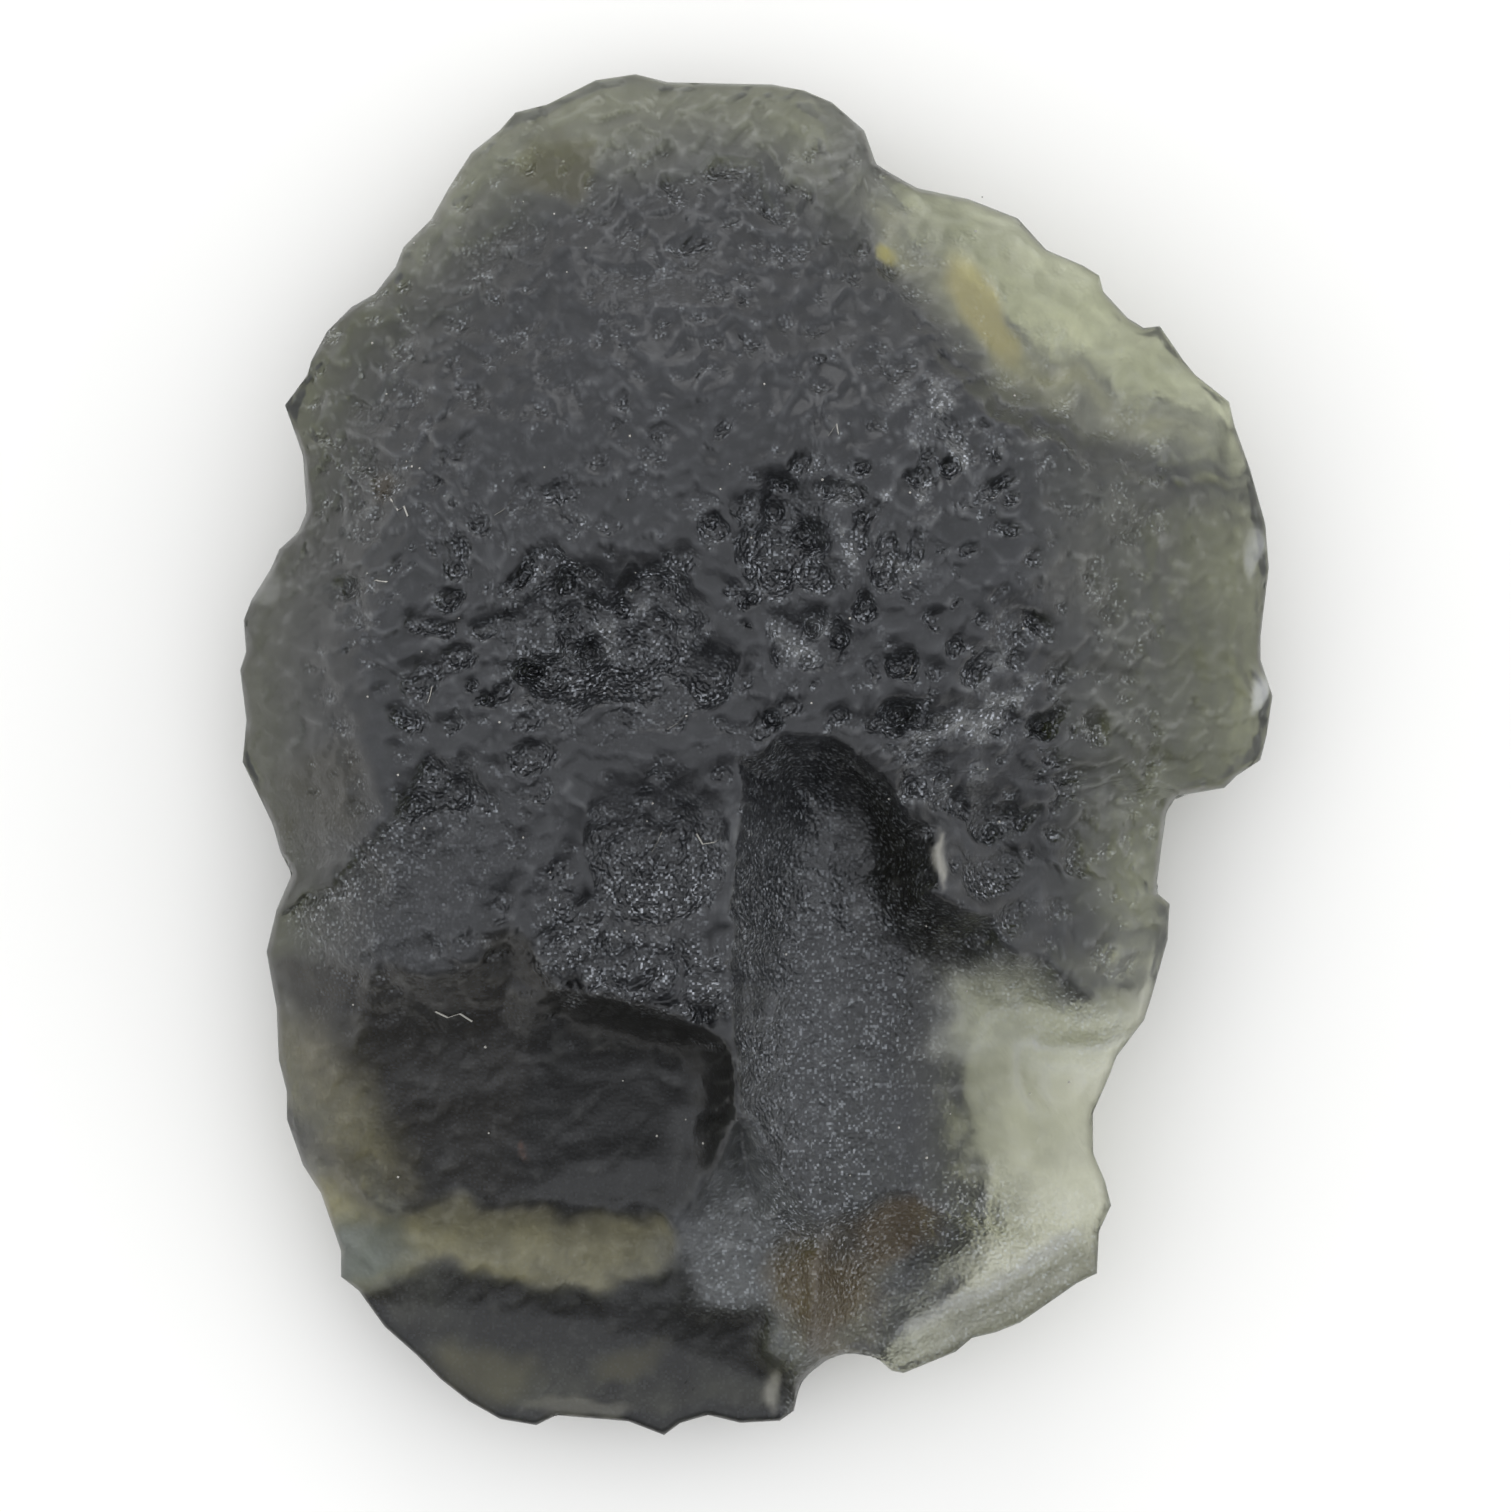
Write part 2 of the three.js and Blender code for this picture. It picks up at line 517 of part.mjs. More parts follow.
function evenShares(count) {
  return Array.from({ length: count }, (_, i) => i / count);
}

function stoneGeometry() {
  const rim = rimPoints();
  const skin = new Skin();
  const rimRing = skin.addRing(rim, rimHeight, evenShares(rim.length));

  let outer = rimRing;
  for (const share of ringShares(UPPER_RINGS).slice(0, -1)) {
    const shares = evenShares(Math.max(6, Math.round(rim.length * (1 - share))));
    const places = shares.map((at) => placeOnRim(rim, at).map((value) => value * (1 - share)));
    const inner = skin.addRing(places, worn(upperHeight), shares);
    skin.stitch(outer, inner, true);
    outer = inner;
  }
  skin.close(outer, [0, 0], upperHeight(0, 0), true);

  outer = rimRing;
  for (const share of ringShares(LOWER_RINGS)) {
    const thinned = share < SIDE_STEPS[2] ? 1 : LOWER_SHARE_OF_POINTS;
    const shares = evenShares(Math.round(rim.length * thinned * (1 - share / 2)));
    const places = shares.map((at) => {
      const onRim = placeOnRim(rim, at);
      const onSpot = placeOnSpot(onRim);
      return [onRim[0] + share * (onSpot[0] - onRim[0]), onRim[1] + share * (onSpot[1] - onRim[1])];
    });
    const onSpotEdge = share === 1;
    const inner = skin.addRing(places, onSpotEdge ? () => 0 : worn(lowerHeight), shares);
    skin.stitch(outer, inner, false);
    outer = inner;
  }
  skin.close(outer, SPOT_AT, 0, false);
  return skin.geometry();
}

const glass = new THREE.MeshStandardMaterial({ color: GLASS_COLOUR, roughness: GLASS_ROUGHNESS });
const stone = new THREE.Mesh(stoneGeometry(), glass);
stone.name = "moldavite";

const part = new THREE.Group();
part.add(stone);
export default part;
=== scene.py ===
# %% [markdown]
# # A moldavite, from its solid to its glass
# A moldavite is a lump of natural glass that acid soil has etched for millions of years. This
# lesson starts from the lump's plain solid, cuts the fine sculpture of its skin into it and gives
# it a glass that is dark where it is thick and pale olive where it is thin.

import bmesh
import bpy
import numpy as np
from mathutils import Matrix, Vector


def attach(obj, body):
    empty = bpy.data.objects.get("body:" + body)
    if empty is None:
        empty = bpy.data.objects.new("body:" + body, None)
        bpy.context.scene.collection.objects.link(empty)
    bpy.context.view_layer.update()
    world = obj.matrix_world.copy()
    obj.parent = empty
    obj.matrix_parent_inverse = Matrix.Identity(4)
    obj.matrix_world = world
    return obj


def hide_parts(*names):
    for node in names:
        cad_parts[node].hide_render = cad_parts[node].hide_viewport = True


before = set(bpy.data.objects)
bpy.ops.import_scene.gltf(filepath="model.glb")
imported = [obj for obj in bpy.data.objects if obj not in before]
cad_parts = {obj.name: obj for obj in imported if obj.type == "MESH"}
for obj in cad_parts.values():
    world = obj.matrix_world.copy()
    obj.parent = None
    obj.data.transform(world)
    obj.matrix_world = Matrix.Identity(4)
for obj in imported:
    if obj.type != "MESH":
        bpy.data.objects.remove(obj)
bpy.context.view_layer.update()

MM = 0.001
print("nodes in the frame:", sorted(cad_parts))

# %% [markdown]
# ## The forms of the stone
# The sculpture is easiest to keep as a few lists in millimetres, seen from above: the outline,
# the scars where glass broke away, the etched pits and the ledges. A sculpted mesh would be an
# alternative, but lists can be read, measured and changed. The solid has the same main forms.

# %% Outline, in millimetres, counter-clockwise from the top
OUTLINE = [
    (-3.0, 17.0), (-4.0, 16.85), (-5.2, 16.25), (-6.0, 16.05), (-6.4, 15.6), (-7.1, 15.05),
    (-7.65, 14.2), (-8.1, 13.4), (-8.8, 12.7), (-9.0, 12.2), (-9.5, 11.55), (-10.1, 11.2),
    (-10.7, 10.6), (-11.1, 9.85), (-11.2, 9.5), (-11.75, 8.75), (-11.3, 7.5), (-11.2, 6.1),
    (-11.4, 5.6), (-11.9, 5.15), (-12.1, 4.7), (-12.6, 3.9), (-12.8, 3.4), (-12.75, 2.6),
    (-12.9, 2.15), (-12.75, 0.9), (-12.85, -0.15), (-12.1, -1.7), (-11.9, -2.4), (-11.6, -2.95),
    (-12.0, -3.85), (-12.25, -4.9), (-12.0, -6.3), (-11.95, -7.6), (-11.75, -8.4), (-11.75, -9.1),
    (-11.35, -10.25), (-10.9, -10.95), (-10.4, -12.4), (-10.4, -13.05), (-9.95, -13.4), (-9.3, -14.3),
    (-8.5, -15.0), (-7.9, -15.6), (-7.2, -16.15), (-6.4, -16.6), (-5.5, -16.75), (-5.0, -16.5),
    (-3.2, -16.65), (-2.3, -17.0), (-1.9, -16.7), (-1.2, -16.5), (-0.4, -16.7), (0.6, -16.65),
    (0.95, -16.4), (1.1, -15.75), (1.35, -15.45), (1.8, -15.1), (2.3, -14.95), (3.0, -15.05),
    (3.4, -15.4), (3.7, -15.45), (5.0, -14.9), (5.4, -14.55), (6.0, -14.4), (6.6, -14.15),
    (8.0, -13.15), (8.5, -12.9), (8.55, -11.85), (8.85, -11.2), (8.7, -10.6), (8.4, -9.9), (8.4, -8.9),
    (8.85, -7.9), (9.0, -7.5), (9.7, -6.6), (9.9, -6.0), (10.3, -4.6), (10.35, -3.7), (10.0, -3.4),
    (10.25, -1.4), (10.5, -1.0), (11.7, -0.8), (12.0, -0.5), (12.6, -0.1), (12.75, 0.5), (12.9, 1.5),
    (12.6, 2.4), (12.6, 3.0), (12.8, 4.7), (12.7, 5.8), (12.3, 7.15), (11.9, 8.2), (11.75, 8.8),
    (10.9, 9.45), (10.6, 9.8), (10.0, 10.65), (9.6, 10.6), (9.2, 10.85), (8.6, 11.5), (8.5, 11.9),
    (8.1, 12.15), (7.2, 12.55), (6.5, 13.35), (5.3, 13.85), (4.0, 14.15), (3.4, 14.5), (3.0, 14.75),
    (2.7, 15.6), (1.9, 16.3), (1.2, 16.6), (0.4, 16.75), (-2.2, 16.8),
]
print("outline points:", len(OUTLINE))

# %% Girth: a calmer line along the outline, from which the dome and its bevel rise
GIRTH = [
    (-3.0, 17.0), (-7.0, 15.2), (-10.8, 10.5), (-11.9, 7.0), (-12.9, 2.5), (-12.6, -1.0),
    (-12.2, -5.0), (-11.6, -9.5), (-10.2, -13.4), (-7.0, -16.3), (-2.0, -17.0), (1.2, -16.3),
    (5.0, -14.9), (8.6, -12.5), (9.0, -8.5), (10.2, -4.0), (12.3, -0.5), (12.9, 3.0), (12.0, 8.0),
    (9.6, 10.9), (6.5, 13.3), (2.9, 15.6), (0.5, 16.8),
]
print("girth points:", len(GIRTH))

# %% Scars of the upper face: edge, a point on the floor, the floor's slope, width and curve of the wall
UPPER_SCARS = {
    "pale flange": dict(
        edge=[
            (1.9, 15.6), (2.0, 14.0), (2.6, 12.7), (3.5, 11.0), (4.8, 9.2), (5.7, 8.3), (6.9, 7.7),
            (8.4, 7.0), (10.2, 6.5), (13, 5.8), (14, 10), (10.5, 14), (6, 17), (3, 18),
        ],
        floor=(7.6, 10.8, 5.75), slope=(-0.05, 0.0), wall=2.4, power=1.4,
    ),
    "big scoop": dict(
        edge=[
            (-0.45, -0.1), (0.15, 0.2), (0.6, 0.5), (1.1, 0.62), (1.8, 0.48), (2.4, 0.1), (3.1, -0.35),
            (3.6, -0.95), (4.1, -1.7), (4.4, -2.4), (4.45, -3.0), (4.25, -3.4), (5.0, -3.6),
            (5.7, -3.8), (6.5, -4.9), (7.3, -5.1), (8.1, -5.6), (8.6, -6.3), (9.4, -6.7), (11, -7.2),
            (11, -10.5), (9, -18), (0.6, -18), (0.7, -14), (0.2, -11), (-0.2, -9.4), (-0.45, -8.5),
            (-0.6, -7.0), (-0.65, -5.0), (-0.6, -3.0), (-0.4, -1.5),
        ],
        floor=(2.0, -6.0, 5.5), slope=(-0.3, 0.04), wall=2.0, power=2.2,
    ),
    "south-east floor": dict(
        edge=[
            (3.2, -4.4), (4.6, -4.5), (5.6, -4.8), (6.6, -5.4), (7.6, -5.8), (8.6, -6.5), (11, -7.0),
            (11, -12.2), (8.3, -12.0), (7.0, -11.9), (5.6, -11.5), (4.3, -11.3), (3.6, -10.4),
            (3.3, -9.0), (3.4, -7.6), (3.4, -6.0),
        ],
        floor=(6.5, -9.0, 4.35), slope=(-0.03, 0.02), wall=2.0, power=1.3,
    ),
    "south-west scar": dict(
        edge=[
            (-14, -5.4), (-12, -5.3), (-11, -5.1), (-9.8, -5.1), (-9.3, -5.3), (-8.3, -5.35),
            (-7.4, -5.1), (-6.9, -4.8), (-6.6, -4.3), (-6.0, -4.15), (-5.5, -4.5), (-5.1, -5.2),
            (-4.9, -5.6), (-4.3, -5.8), (-3.3, -6.05), (-2.2, -6.2), (-1.4, -6.4), (-0.9, -6.9),
            (-0.6, -7.6), (-0.4, -8.9), (0.5, -10.2), (1.3, -11.3), (1.5, -13), (1.3, -18), (-14, -18),
        ],
        floor=(-6.0, -8.0, 5.4), slope=(0.12, 0.36), wall=1.9, power=1.6,
    ),
    "black hollow": dict(
        edge=[
            (-5.05, -5.5), (-4.3, -5.75), (-3.3, -6.05), (-2.2, -6.2), (-1.4, -6.4), (-0.9, -6.8),
            (-0.55, -7.6), (-0.4, -8.9), (-1.0, -10.0), (-1.7, -11.2), (-3.4, -11.5), (-5, -11.3),
            (-5.9, -11.0), (-5.85, -8.6), (-5.6, -7.5), (-5.4, -6.5),
        ],
        floor=(-3.0, -8.7, 4.9), slope=(0.03, 0.4), wall=1.6, power=1.6,
    ),
    "gully": dict(
        edge=[
            (-0.35, -8.8), (0.0, -9.1), (0.6, -10.0), (1.3, -11.2), (1.9, -11.7), (1.5, -13.4),
            (1.1, -15.3), (0.3, -15.2), (-2.2, -14.4), (-2.0, -12.6), (-1.7, -11.3), (-1.0, -10.0),
        ],
        floor=(-0.3, -11.6, 4.0), slope=(0.1, -0.08), wall=1.4, power=1.5,
    ),
    "terrace": dict(
        edge=[
            (-14, -10.5), (-11.4, -10.2), (-10.2, -10.4), (-9.3, -11.4), (-8.7, -11.3), (-7.9, -10.9),
            (-7.0, -11.2), (-6.0, -11.05), (-5, -11.0), (-3.4, -11.35), (-3.0, -11.0), (-2.2, -11.2),
            (-1.7, -11.9), (-2.0, -13), (-2, -18), (-14, -18),
        ],
        floor=(-6.0, -12.2, 3.6), slope=(0.02, -0.05), wall=1.3, power=1.4,
    ),
    "skirt": dict(
        edge=[
            (-12, -13.6), (-10, -13.3), (-9, -13.1), (-8.4, -12.7), (-7.5, -12.7), (-6.5, -13.0),
            (-4.8, -13.5), (-4, -13.5), (-3, -13.1), (-2.2, -12.8), (-1.6, -13.8), (0.15, -13.7),
            (0.3, -14.8), (1.0, -15.4), (1.5, -18), (-12, -18),
        ],
        floor=(-4.0, -15.0, 3.1), slope=(0.03, 0.4), wall=0.7, power=2.0,
    ),
    "brown step": dict(
        edge=[
            (1.5, -11.4), (2.4, -11.3), (2.8, -10.9), (3.4, -10.75), (4.0, -10.95), (4.6, -11.4),
            (5.6, -11.5), (7, -11.9), (8.3, -12.0), (11, -12), (10, -18), (1.0, -18), (1.1, -15.4),
            (1.6, -13),
        ],
        floor=(4.0, -13.0, 3.4), slope=(-0.12, 0.1), wall=1.4, power=1.5,
    ),
}
print("upper scars:", ", ".join(UPPER_SCARS))

# %% Hollows of the underside, which leave the glass above them thin and pale
LOWER_SCARS = {
    "under the flange": dict(
        edge=[
            (0.8, 18), (1.6, 13.6), (2.2, 12.2), (3.1, 10.5), (4.4, 8.7), (5.2, 7.9), (6.4, 7.2),
            (8.1, 6.5), (9.8, 5.9), (14, 5.2), (14, 14),
        ],
        floor=(7.6, 10.8, 4.4), slope=(-0.1, 0.1), wall=3.0, power=1.3,
    ),
    "under the scoop": dict(
        edge=[
            (2.6, -4), (2.7, -5.7), (2.8, -6.6), (2.7, -8), (2.6, -9), (3, -10.4), (3.6, -11.6),
            (3.4, -12.6), (2.6, -13.4), (2.2, -16), (10, -16), (12, -9), (11, -4.6), (8.4, -3.8),
            (6, -3.2), (4, -3.2),
        ],
        floor=(7.0, -9.0, 3.2), slope=(0.03, 0), wall=2.6, power=1.3,
    ),
    "under the terrace": dict(
        edge=[
            (-14, -7.6), (-10.4, -9.2), (-8.6, -10.4), (-6, -10.3), (-4, -10.7), (-2, -11),
            (-1.6, -12.6), (-3.2, -13.6), (-5, -13.9), (-7, -13.4), (-9, -13.5), (-14, -13.9),
        ],
        floor=(-6.0, -12.0, 1.9), slope=(-0.05, 0), wall=1.5, power=1.5,
    ),
}
print("lower scars:", ", ".join(LOWER_SCARS))

# %% Pits: middle x and y, half width, half length, turn in degrees, depth
UPPER_PITS = [
    (-3.6, 3.0, 2.7, 1.9, 10, 1.1), (-2.3, 2.0, 1.9, 1.4, 0, 0.5), (-4.9, 1.6, 1.4, 1.0, 20, 0.4),
    (-2.45, -2.25, 1.9, 2.05, 0, 0.95), (-1.1, 2.0, 0.65, 0.8, 0, 0.5), (0.6, 5.4, 1.2, 1.75, 0, 0.8),
    (1.4, 2.7, 1.5, 0.7, 0, 0.3), (4.15, -0.5, 0.65, 0.7, 0, 0.4), (5.9, -1.4, 0.95, 0.7, -30, 0.35),
    (5.8, -2.75, 0.8, 0.75, 0, 0.35), (6.2, 3.1, 0.7, 0.7, 0, 0.25), (-5.4, 0.0, 0.6, 0.55, 0, 0.4),
    (-7.3, -0.9, 0.75, 0.5, 15, 0.3), (-8.5, -1.2, 0.5, 0.45, 0, 0.25), (-9.0, 6.8, 0.6, 0.5, 0, 0.3),
    (-11.3, -1.0, 2.2, 2.0, 0, 0.4),
]
SMALL_PITS = [
    (0.3, 4.0, 0.6, 0.6, 0, 0.22), (-5.25, -0.8, 0.4, 0.35, 0, 0.25), (-6.6, -1.1, 0.3, 0.3, 0, 0.2),
    (-8.5, 1.0, 0.5, 0.4, 0, 0.3), (3.0, 0.85, 0.5, 0.25, 0, 0.25), (4.45, 0.95, 0.65, 0.25, 38, 0.25),
    (0.35, 0.85, 0.3, 0.25, 0, 0.2), (3.3, 0.2, 0.25, 0.22, 0, 0.15), (2.6, 5.5, 0.28, 0.75, 5, 0.3),
    (3.2, 5.2, 0.28, 0.8, 0, 0.3), (3.85, 4.9, 0.26, 0.7, -5, 0.25), (-4.6, 6.3, 0.55, 0.25, 10, 0.25),
    (-3.5, 5.7, 0.35, 0.25, 0, 0.2), (-8.7, 7.3, 0.3, 0.25, 0, 0.15), (8.4, 0.65, 0.5, 0.5, 0, 0.2),
    (2.1, 3.0, 0.25, 0.22, 0, 0.15), (-7.4, 0.7, 0.35, 0.3, 0, 0.2), (6.2, -4.0, 0.5, 0.35, 20, 0.2),
]
LOWER_PITS = [
    (-8.5, 7.5, 2.2, 1.6, 25, 0.5), (-4.0, 12.0, 1.8, 2.3, -20, 0.6), (0.5, 13.2, 1.3, 1.6, 0, 0.4),
    (-9.6, 1.0, 1.5, 2.1, 10, 0.5), (-8.8, -4.8, 1.9, 1.4, -15, 0.5), (-4.2, -9.2, 2.2, 1.5, 5, 0.45),
    (1.4, -11.4, 1.6, 2.0, 20, 0.5), (8.2, -1.8, 1.6, 2.2, -10, 0.5), (9.6, 4.2, 1.4, 2.4, 5, 0.6),
    (-4.8, -15.0, 2.1, 0.9, 0, 0.3),
]
print("named pits:", len(UPPER_PITS) + len(SMALL_PITS) + len(LOWER_PITS))

# %% Ledges: the glass right of each line drops, by the drop, and comes back over the reach
LEDGES = [
    ([(-6.2, 4.5), (-5.3, 5.0), (-4, 4.7), (-3.5, 4.5)], 0.5, 1.0),
    ([(-3.4, 4.35), (-2.5, 4.7), (-1.3, 4.35)], 0.5, 1.0),
    ([(-6.6, 2.4), (-5, 2.3), (-4, 2.75), (-3.4, 2.3)], 0.35, 0.8),
    ([(-12.1, -3.9), (-10.2, -3.0), (-9.7, -2.2), (-9.0, -1.4), (-8.0, 0.3)], 0.35, 1.6),
    ([(0.3, -0.85), (1.1, -0.7), (2.1, -0.95)], 0.3, 0.8),
    ([(0.0, 3.4), (1.2, 3.45), (2.6, 3.35)], 0.25, 0.8),
    ([(-7.7, 12.75), (-6.9, 12.7), (-5.9, 13.2), (-4.9, 13.3)], 0.2, 0.7),
    ([(-10.4, 8.8), (-9.6, 8.85), (-8.5, 9.8)], 0.2, 0.7),
    ([(-4.1, 12.1), (-3.6, 11.9), (-1.9, 11.95), (-1.6, 12.3)], 0.2, 0.7),
    ([(-5.6, 10.4), (-3.8, 10.3)], 0.18, 0.6),
    ([(-5.1, 9.1), (-3.9, 9.5)], 0.18, 0.6),
    ([(-8.3, 7.2), (-6.7, 8.0)], 0.2, 0.7),
    ([(-8.4, 5.3), (-6.9, 6.1)], 0.2, 0.7),
    ([(-6.5, 5.9), (-5, 6.5), (-4.4, 7.2)], 0.2, 0.7),
    ([(-4.2, 4.0), (-3.4, 3.8), (-2.6, 3.4)], 0.35, 0.7),
    ([(-7.0, 3.45), (-6.1, 3.6), (-5.4, 3.4)], 0.3, 0.8),
    ([(-4, 1.1), (-2.6, 1.2)], 0.25, 0.6),
]
print("ledges:", len(LEDGES))

# %% Grooves: thin flow lines, cracks and ripples, with depth and half width
GROOVES = [
    (
        [(9.4, -7.0), (8.6, -7.35), (7.8, -7.2), (6.8, -7.0), (6.4, -7.4), (6.6, -8.2), (7.2, -9.0)],
        0.16, 0.14,
    ),
    ([(8.9, -7.9), (8.1, -7.8), (7.3, -7.6), (7.2, -8.1), (7.7, -8.8)], 0.12, 0.12),
    ([(9.6, -6.4), (8.4, -6.6), (7.0, -6.3), (5.8, -6.5), (5.4, -7.3)], 0.1, 0.16),
    ([(5.9, -9.9), (5.7, -11.2), (5.9, -12.6)], 0.12, 0.08),
    ([(6.5, -10.2), (6.2, -11.0), (6.4, -12.0)], 0.08, 0.07),
    ([(3.5, -14.6), (4.6, -13.9), (5.8, -13.3), (7.0, -12.5), (8.2, -11.9)], 0.35, 0.2),
    ([(4.2, -14.9), (5.3, -14.2), (6.5, -13.6), (8.0, -12.8)], 0.16, 0.14),
    ([(5.0, -14.6), (5.1, -14.1), (5.6, -13.7)], 0.12, 0.1),
    ([(6.3, -14.1), (6.5, -13.5), (7.0, -13.1)], 0.12, 0.1),
    ([(7.4, -13.4), (7.6, -12.8), (8.2, -12.4)], 0.12, 0.1),
    ([(8.6, 9.9), (8.9, 8.9), (8.8, 8.0)], 0.08, 0.1),
    ([(9.3, 9.8), (9.6, 8.8), (9.4, 7.8)], 0.08, 0.1),
    ([(0.7, 14.3), (1.5, 14.15), (2.3, 14.3)], 0.1, 0.09),
    ([(0.7, 14.6), (1.6, 14.45), (2.4, 14.6)], 0.1, 0.09),
    ([(0.6, 14.9), (1.5, 14.75), (2.4, 14.95)], 0.1, 0.09),
    ([(0.7, 15.2), (1.5, 15.1), (2.3, 15.25)], 0.1, 0.09),
    ([(0.9, 15.5), (1.5, 15.4), (2.1, 15.55)], 0.1, 0.09),
]
print("grooves:", len(GROOVES))

# %% Zones with their own texture: glittering pits, lumps, facets with painted highlights, and stripes
SPARKLING_PITS = [
    (-0.9, 7.6), (2.0, 7.4), (5.0, 8.0), (6.6, 5.5), (7.6, 2.4), (7.4, -1.5), (6.0, -3.4), (4.7, -2.2),
    (3.6, -0.5), (2.0, 0.8), (0.0, 0.9), (-0.8, 3.4), (-2.4, 5.2), (-6.8, 5.4), (-8.6, 4.4),
    (-7.4, 1.2), (-4.4, 1.2), (-2.0, 4.0), (-1.0, 6.0),
]
LUMPY_BAND = [
    (-5.2, -2.6), (-4.2, -3.9), (-2.2, -4.5), (-0.7, -4.3), (-0.55, -6.2), (-1.2, -6.5), (-3.0, -6.2),
    (-5.2, -5.5),
]
BRIGHT_FACETS = [
    [(1.8, 6.8), (3.0, 7.2), (4.4, 6.4), (4.2, 4.4), (3.0, 4.2), (2.0, 4.8)],
    [(0.0, 3.4), (2.7, 3.3), (3.2, 2.4), (1.5, 2.0), (0.2, 2.3)],
    [(3.0, 9.3), (4.6, 9.0), (6.0, 7.2), (5.2, 6.4), (3.8, 7.8)],
    [(3.4, 1.0), (5.0, 1.4), (6.4, 3.6), (7.0, 2.0), (6.0, 0.0), (4.8, -1.2), (3.9, -0.2)],
    [(-7.0, 3.0), (-4.6, 3.2), (-2.4, 3.6), (-1.4, 3.2), (-3.0, 2.4), (-5.6, 2.2)],
]
STRIPED_FLANK = [
    (8.6, 8.4), (12.9, 7.2), (13.0, -0.4), (10.4, -0.6), (10.4, -4.6), (8.8, -3.6), (8.4, 1.0),
]
print("loops of bright facets:", len(BRIGHT_FACETS))

# %% [markdown]
# ## Measuring places
# Every form needs to know how far a vertex is from its edge. One function gives the distance to a
# closed loop, positive inside, and one the distance to an open line with the side it is on. Both
# work on all vertices at once, because a Python loop over so many would take minutes.

# %% Distances
def nearest_on(x, y, a, b):
    """Distance to the stretch from a to b, whether it is on the right, the way along, the length."""
    along_x, along_y = b[0] - a[0], b[1] - a[1]
    length = np.hypot(along_x, along_y)
    share = np.clip(((x - a[0]) * along_x + (y - a[1]) * along_y) / length**2, 0, 1)
    gap = np.hypot(x - a[0] - share * along_x, y - a[1] - share * along_y)
    on_right = (x - a[0]) * along_y - (y - a[1]) * along_x > 0
    return gap, on_right, share * length, length


def depth_inside(x, y, loop):
    """Distance to a closed loop, positive inside it and negative outside."""
    nearest = np.full(x.shape, np.inf)
    inside = np.zeros(x.shape, bool)
    for a, b in zip(loop, loop[1:] + loop[:1]):
        nearest = np.minimum(nearest, nearest_on(x, y, a, b)[0])
        if a[1] != b[1]:
            spans = (a[1] > y) != (b[1] > y)
            inside ^= spans & (x < (b[0] - a[0]) * (y - a[1]) / (b[1] - a[1]) + a[0])
    return np.where(inside, nearest, -nearest)


def beside_line(x, y, line):
    """Distance to an open line, positive on its right, and how far it is from the line's ends."""
    nearest = np.full(x.shape, np.inf)
    right = np.zeros(x.shape, bool)
    run = np.zeros(x.shape)
    start = 0.0
    for a, b in zip(line, line[1:]):
        gap, on_right, along, length = nearest_on(x, y, a, b)
        closer = gap < nearest
        nearest = np.where(closer, gap, nearest)
        right = np.where(closer, on_right, right)
        run = np.where(closer, start + along, run)
        start += length
    return np.where(right, nearest, -nearest), np.minimum(run, start - run)


def zone(x, y, loop, soft):
    """1 inside a loop, 0 outside, with a soft border half in and half out."""
    return np.clip(depth_inside(x, y, loop) / soft + 0.5, 0, 1)


def ease(distance, run, power):
    """0 at no distance, 1 past the run, steepest at the start."""
    return 1 - (1 - np.clip(distance / run, 0, 1)) ** power


print("mm from the origin to the outline:", depth_inside(np.zeros(1), np.zeros(1), OUTLINE).round(1))

# %% [markdown]
# ## Patterns of etching
# Acid eats tektite glass in packed shallow dimples with sharp ridges between them. A jittered grid
# of dimple middles does the same: the height is a power of the distance to the nearest middle, and a
# higher power gives a flatter floor with a thinner, sharper ridge. On the dome the dimples overlap
# as roof tiles do, which rows of scales give. Soft random hills break up what would look regular.
# Texture nodes could draw this as bump, but here it is in the mesh, where its shadows are true.

# %% A random number for each cell of a grid, and soft hills made of them
HASH_COLUMN, HASH_ROW, HASH_SALT, HASH_GAIN = 127.1, 311.7, 74.7, 43758.5453


def scatter(column, row, salt):
    """A fixed random number between 0 and 1 for each cell. Another salt gives other numbers."""
    value = np.sin(column * HASH_COLUMN + row * HASH_ROW + salt * HASH_SALT) * HASH_GAIN
    return value - np.floor(value)


def smooth(share):
    """From 0 to 1 with a level start and end."""
    return share**2 * (3 - 2 * share)


def drift(x, y, size, salt):
    """Soft random hills between -1 and 1, about this size apart."""
    u, v = x / size, y / size
    column, row = np.floor(u), np.floor(v)
    across, along = smooth(u - column), smooth(v - row)
    near = scatter(column, row, salt) * (1 - across) + scatter(column + 1, row, salt) * across
    far = scatter(column, row + 1, salt) * (1 - across) + scatter(column + 1, row + 1, salt) * across
    return 2 * (near * (1 - along) + far * along) - 1


# %% Packed dimples and overlapping scales
JITTER, FARTHEST, RIDGE_AT, RIDGE_TOP = 0.8, 1.2, 0.5, 1.5
ROW_SHIFT, LEAST_SAG, OVERLAP = 7, 0.4, 1.5


def dimples(x, y, width, length, salt, power=1.0):
    """Height between 0 in the middle of a dimple and about 1 on the ridges."""
    u, v = x / width, y / length
    column, row = np.floor(u), np.floor(v)
    margin = (1 - JITTER) / 2
    nearest = np.full(x.shape, FARTHEST)
    for i in (-1, 0, 1):
        for j in (-1, 0, 1):
            middle_u = column + i + margin + JITTER * scatter(column + i, row + j, salt)
            middle_v = row + j + margin + JITTER * scatter(column + i, row + j, salt + 1)
            nearest = np.minimum(nearest, (u - middle_u) ** 2 + (v - middle_v) ** 2)
    return np.minimum(nearest / RIDGE_AT, RIDGE_TOP) ** power


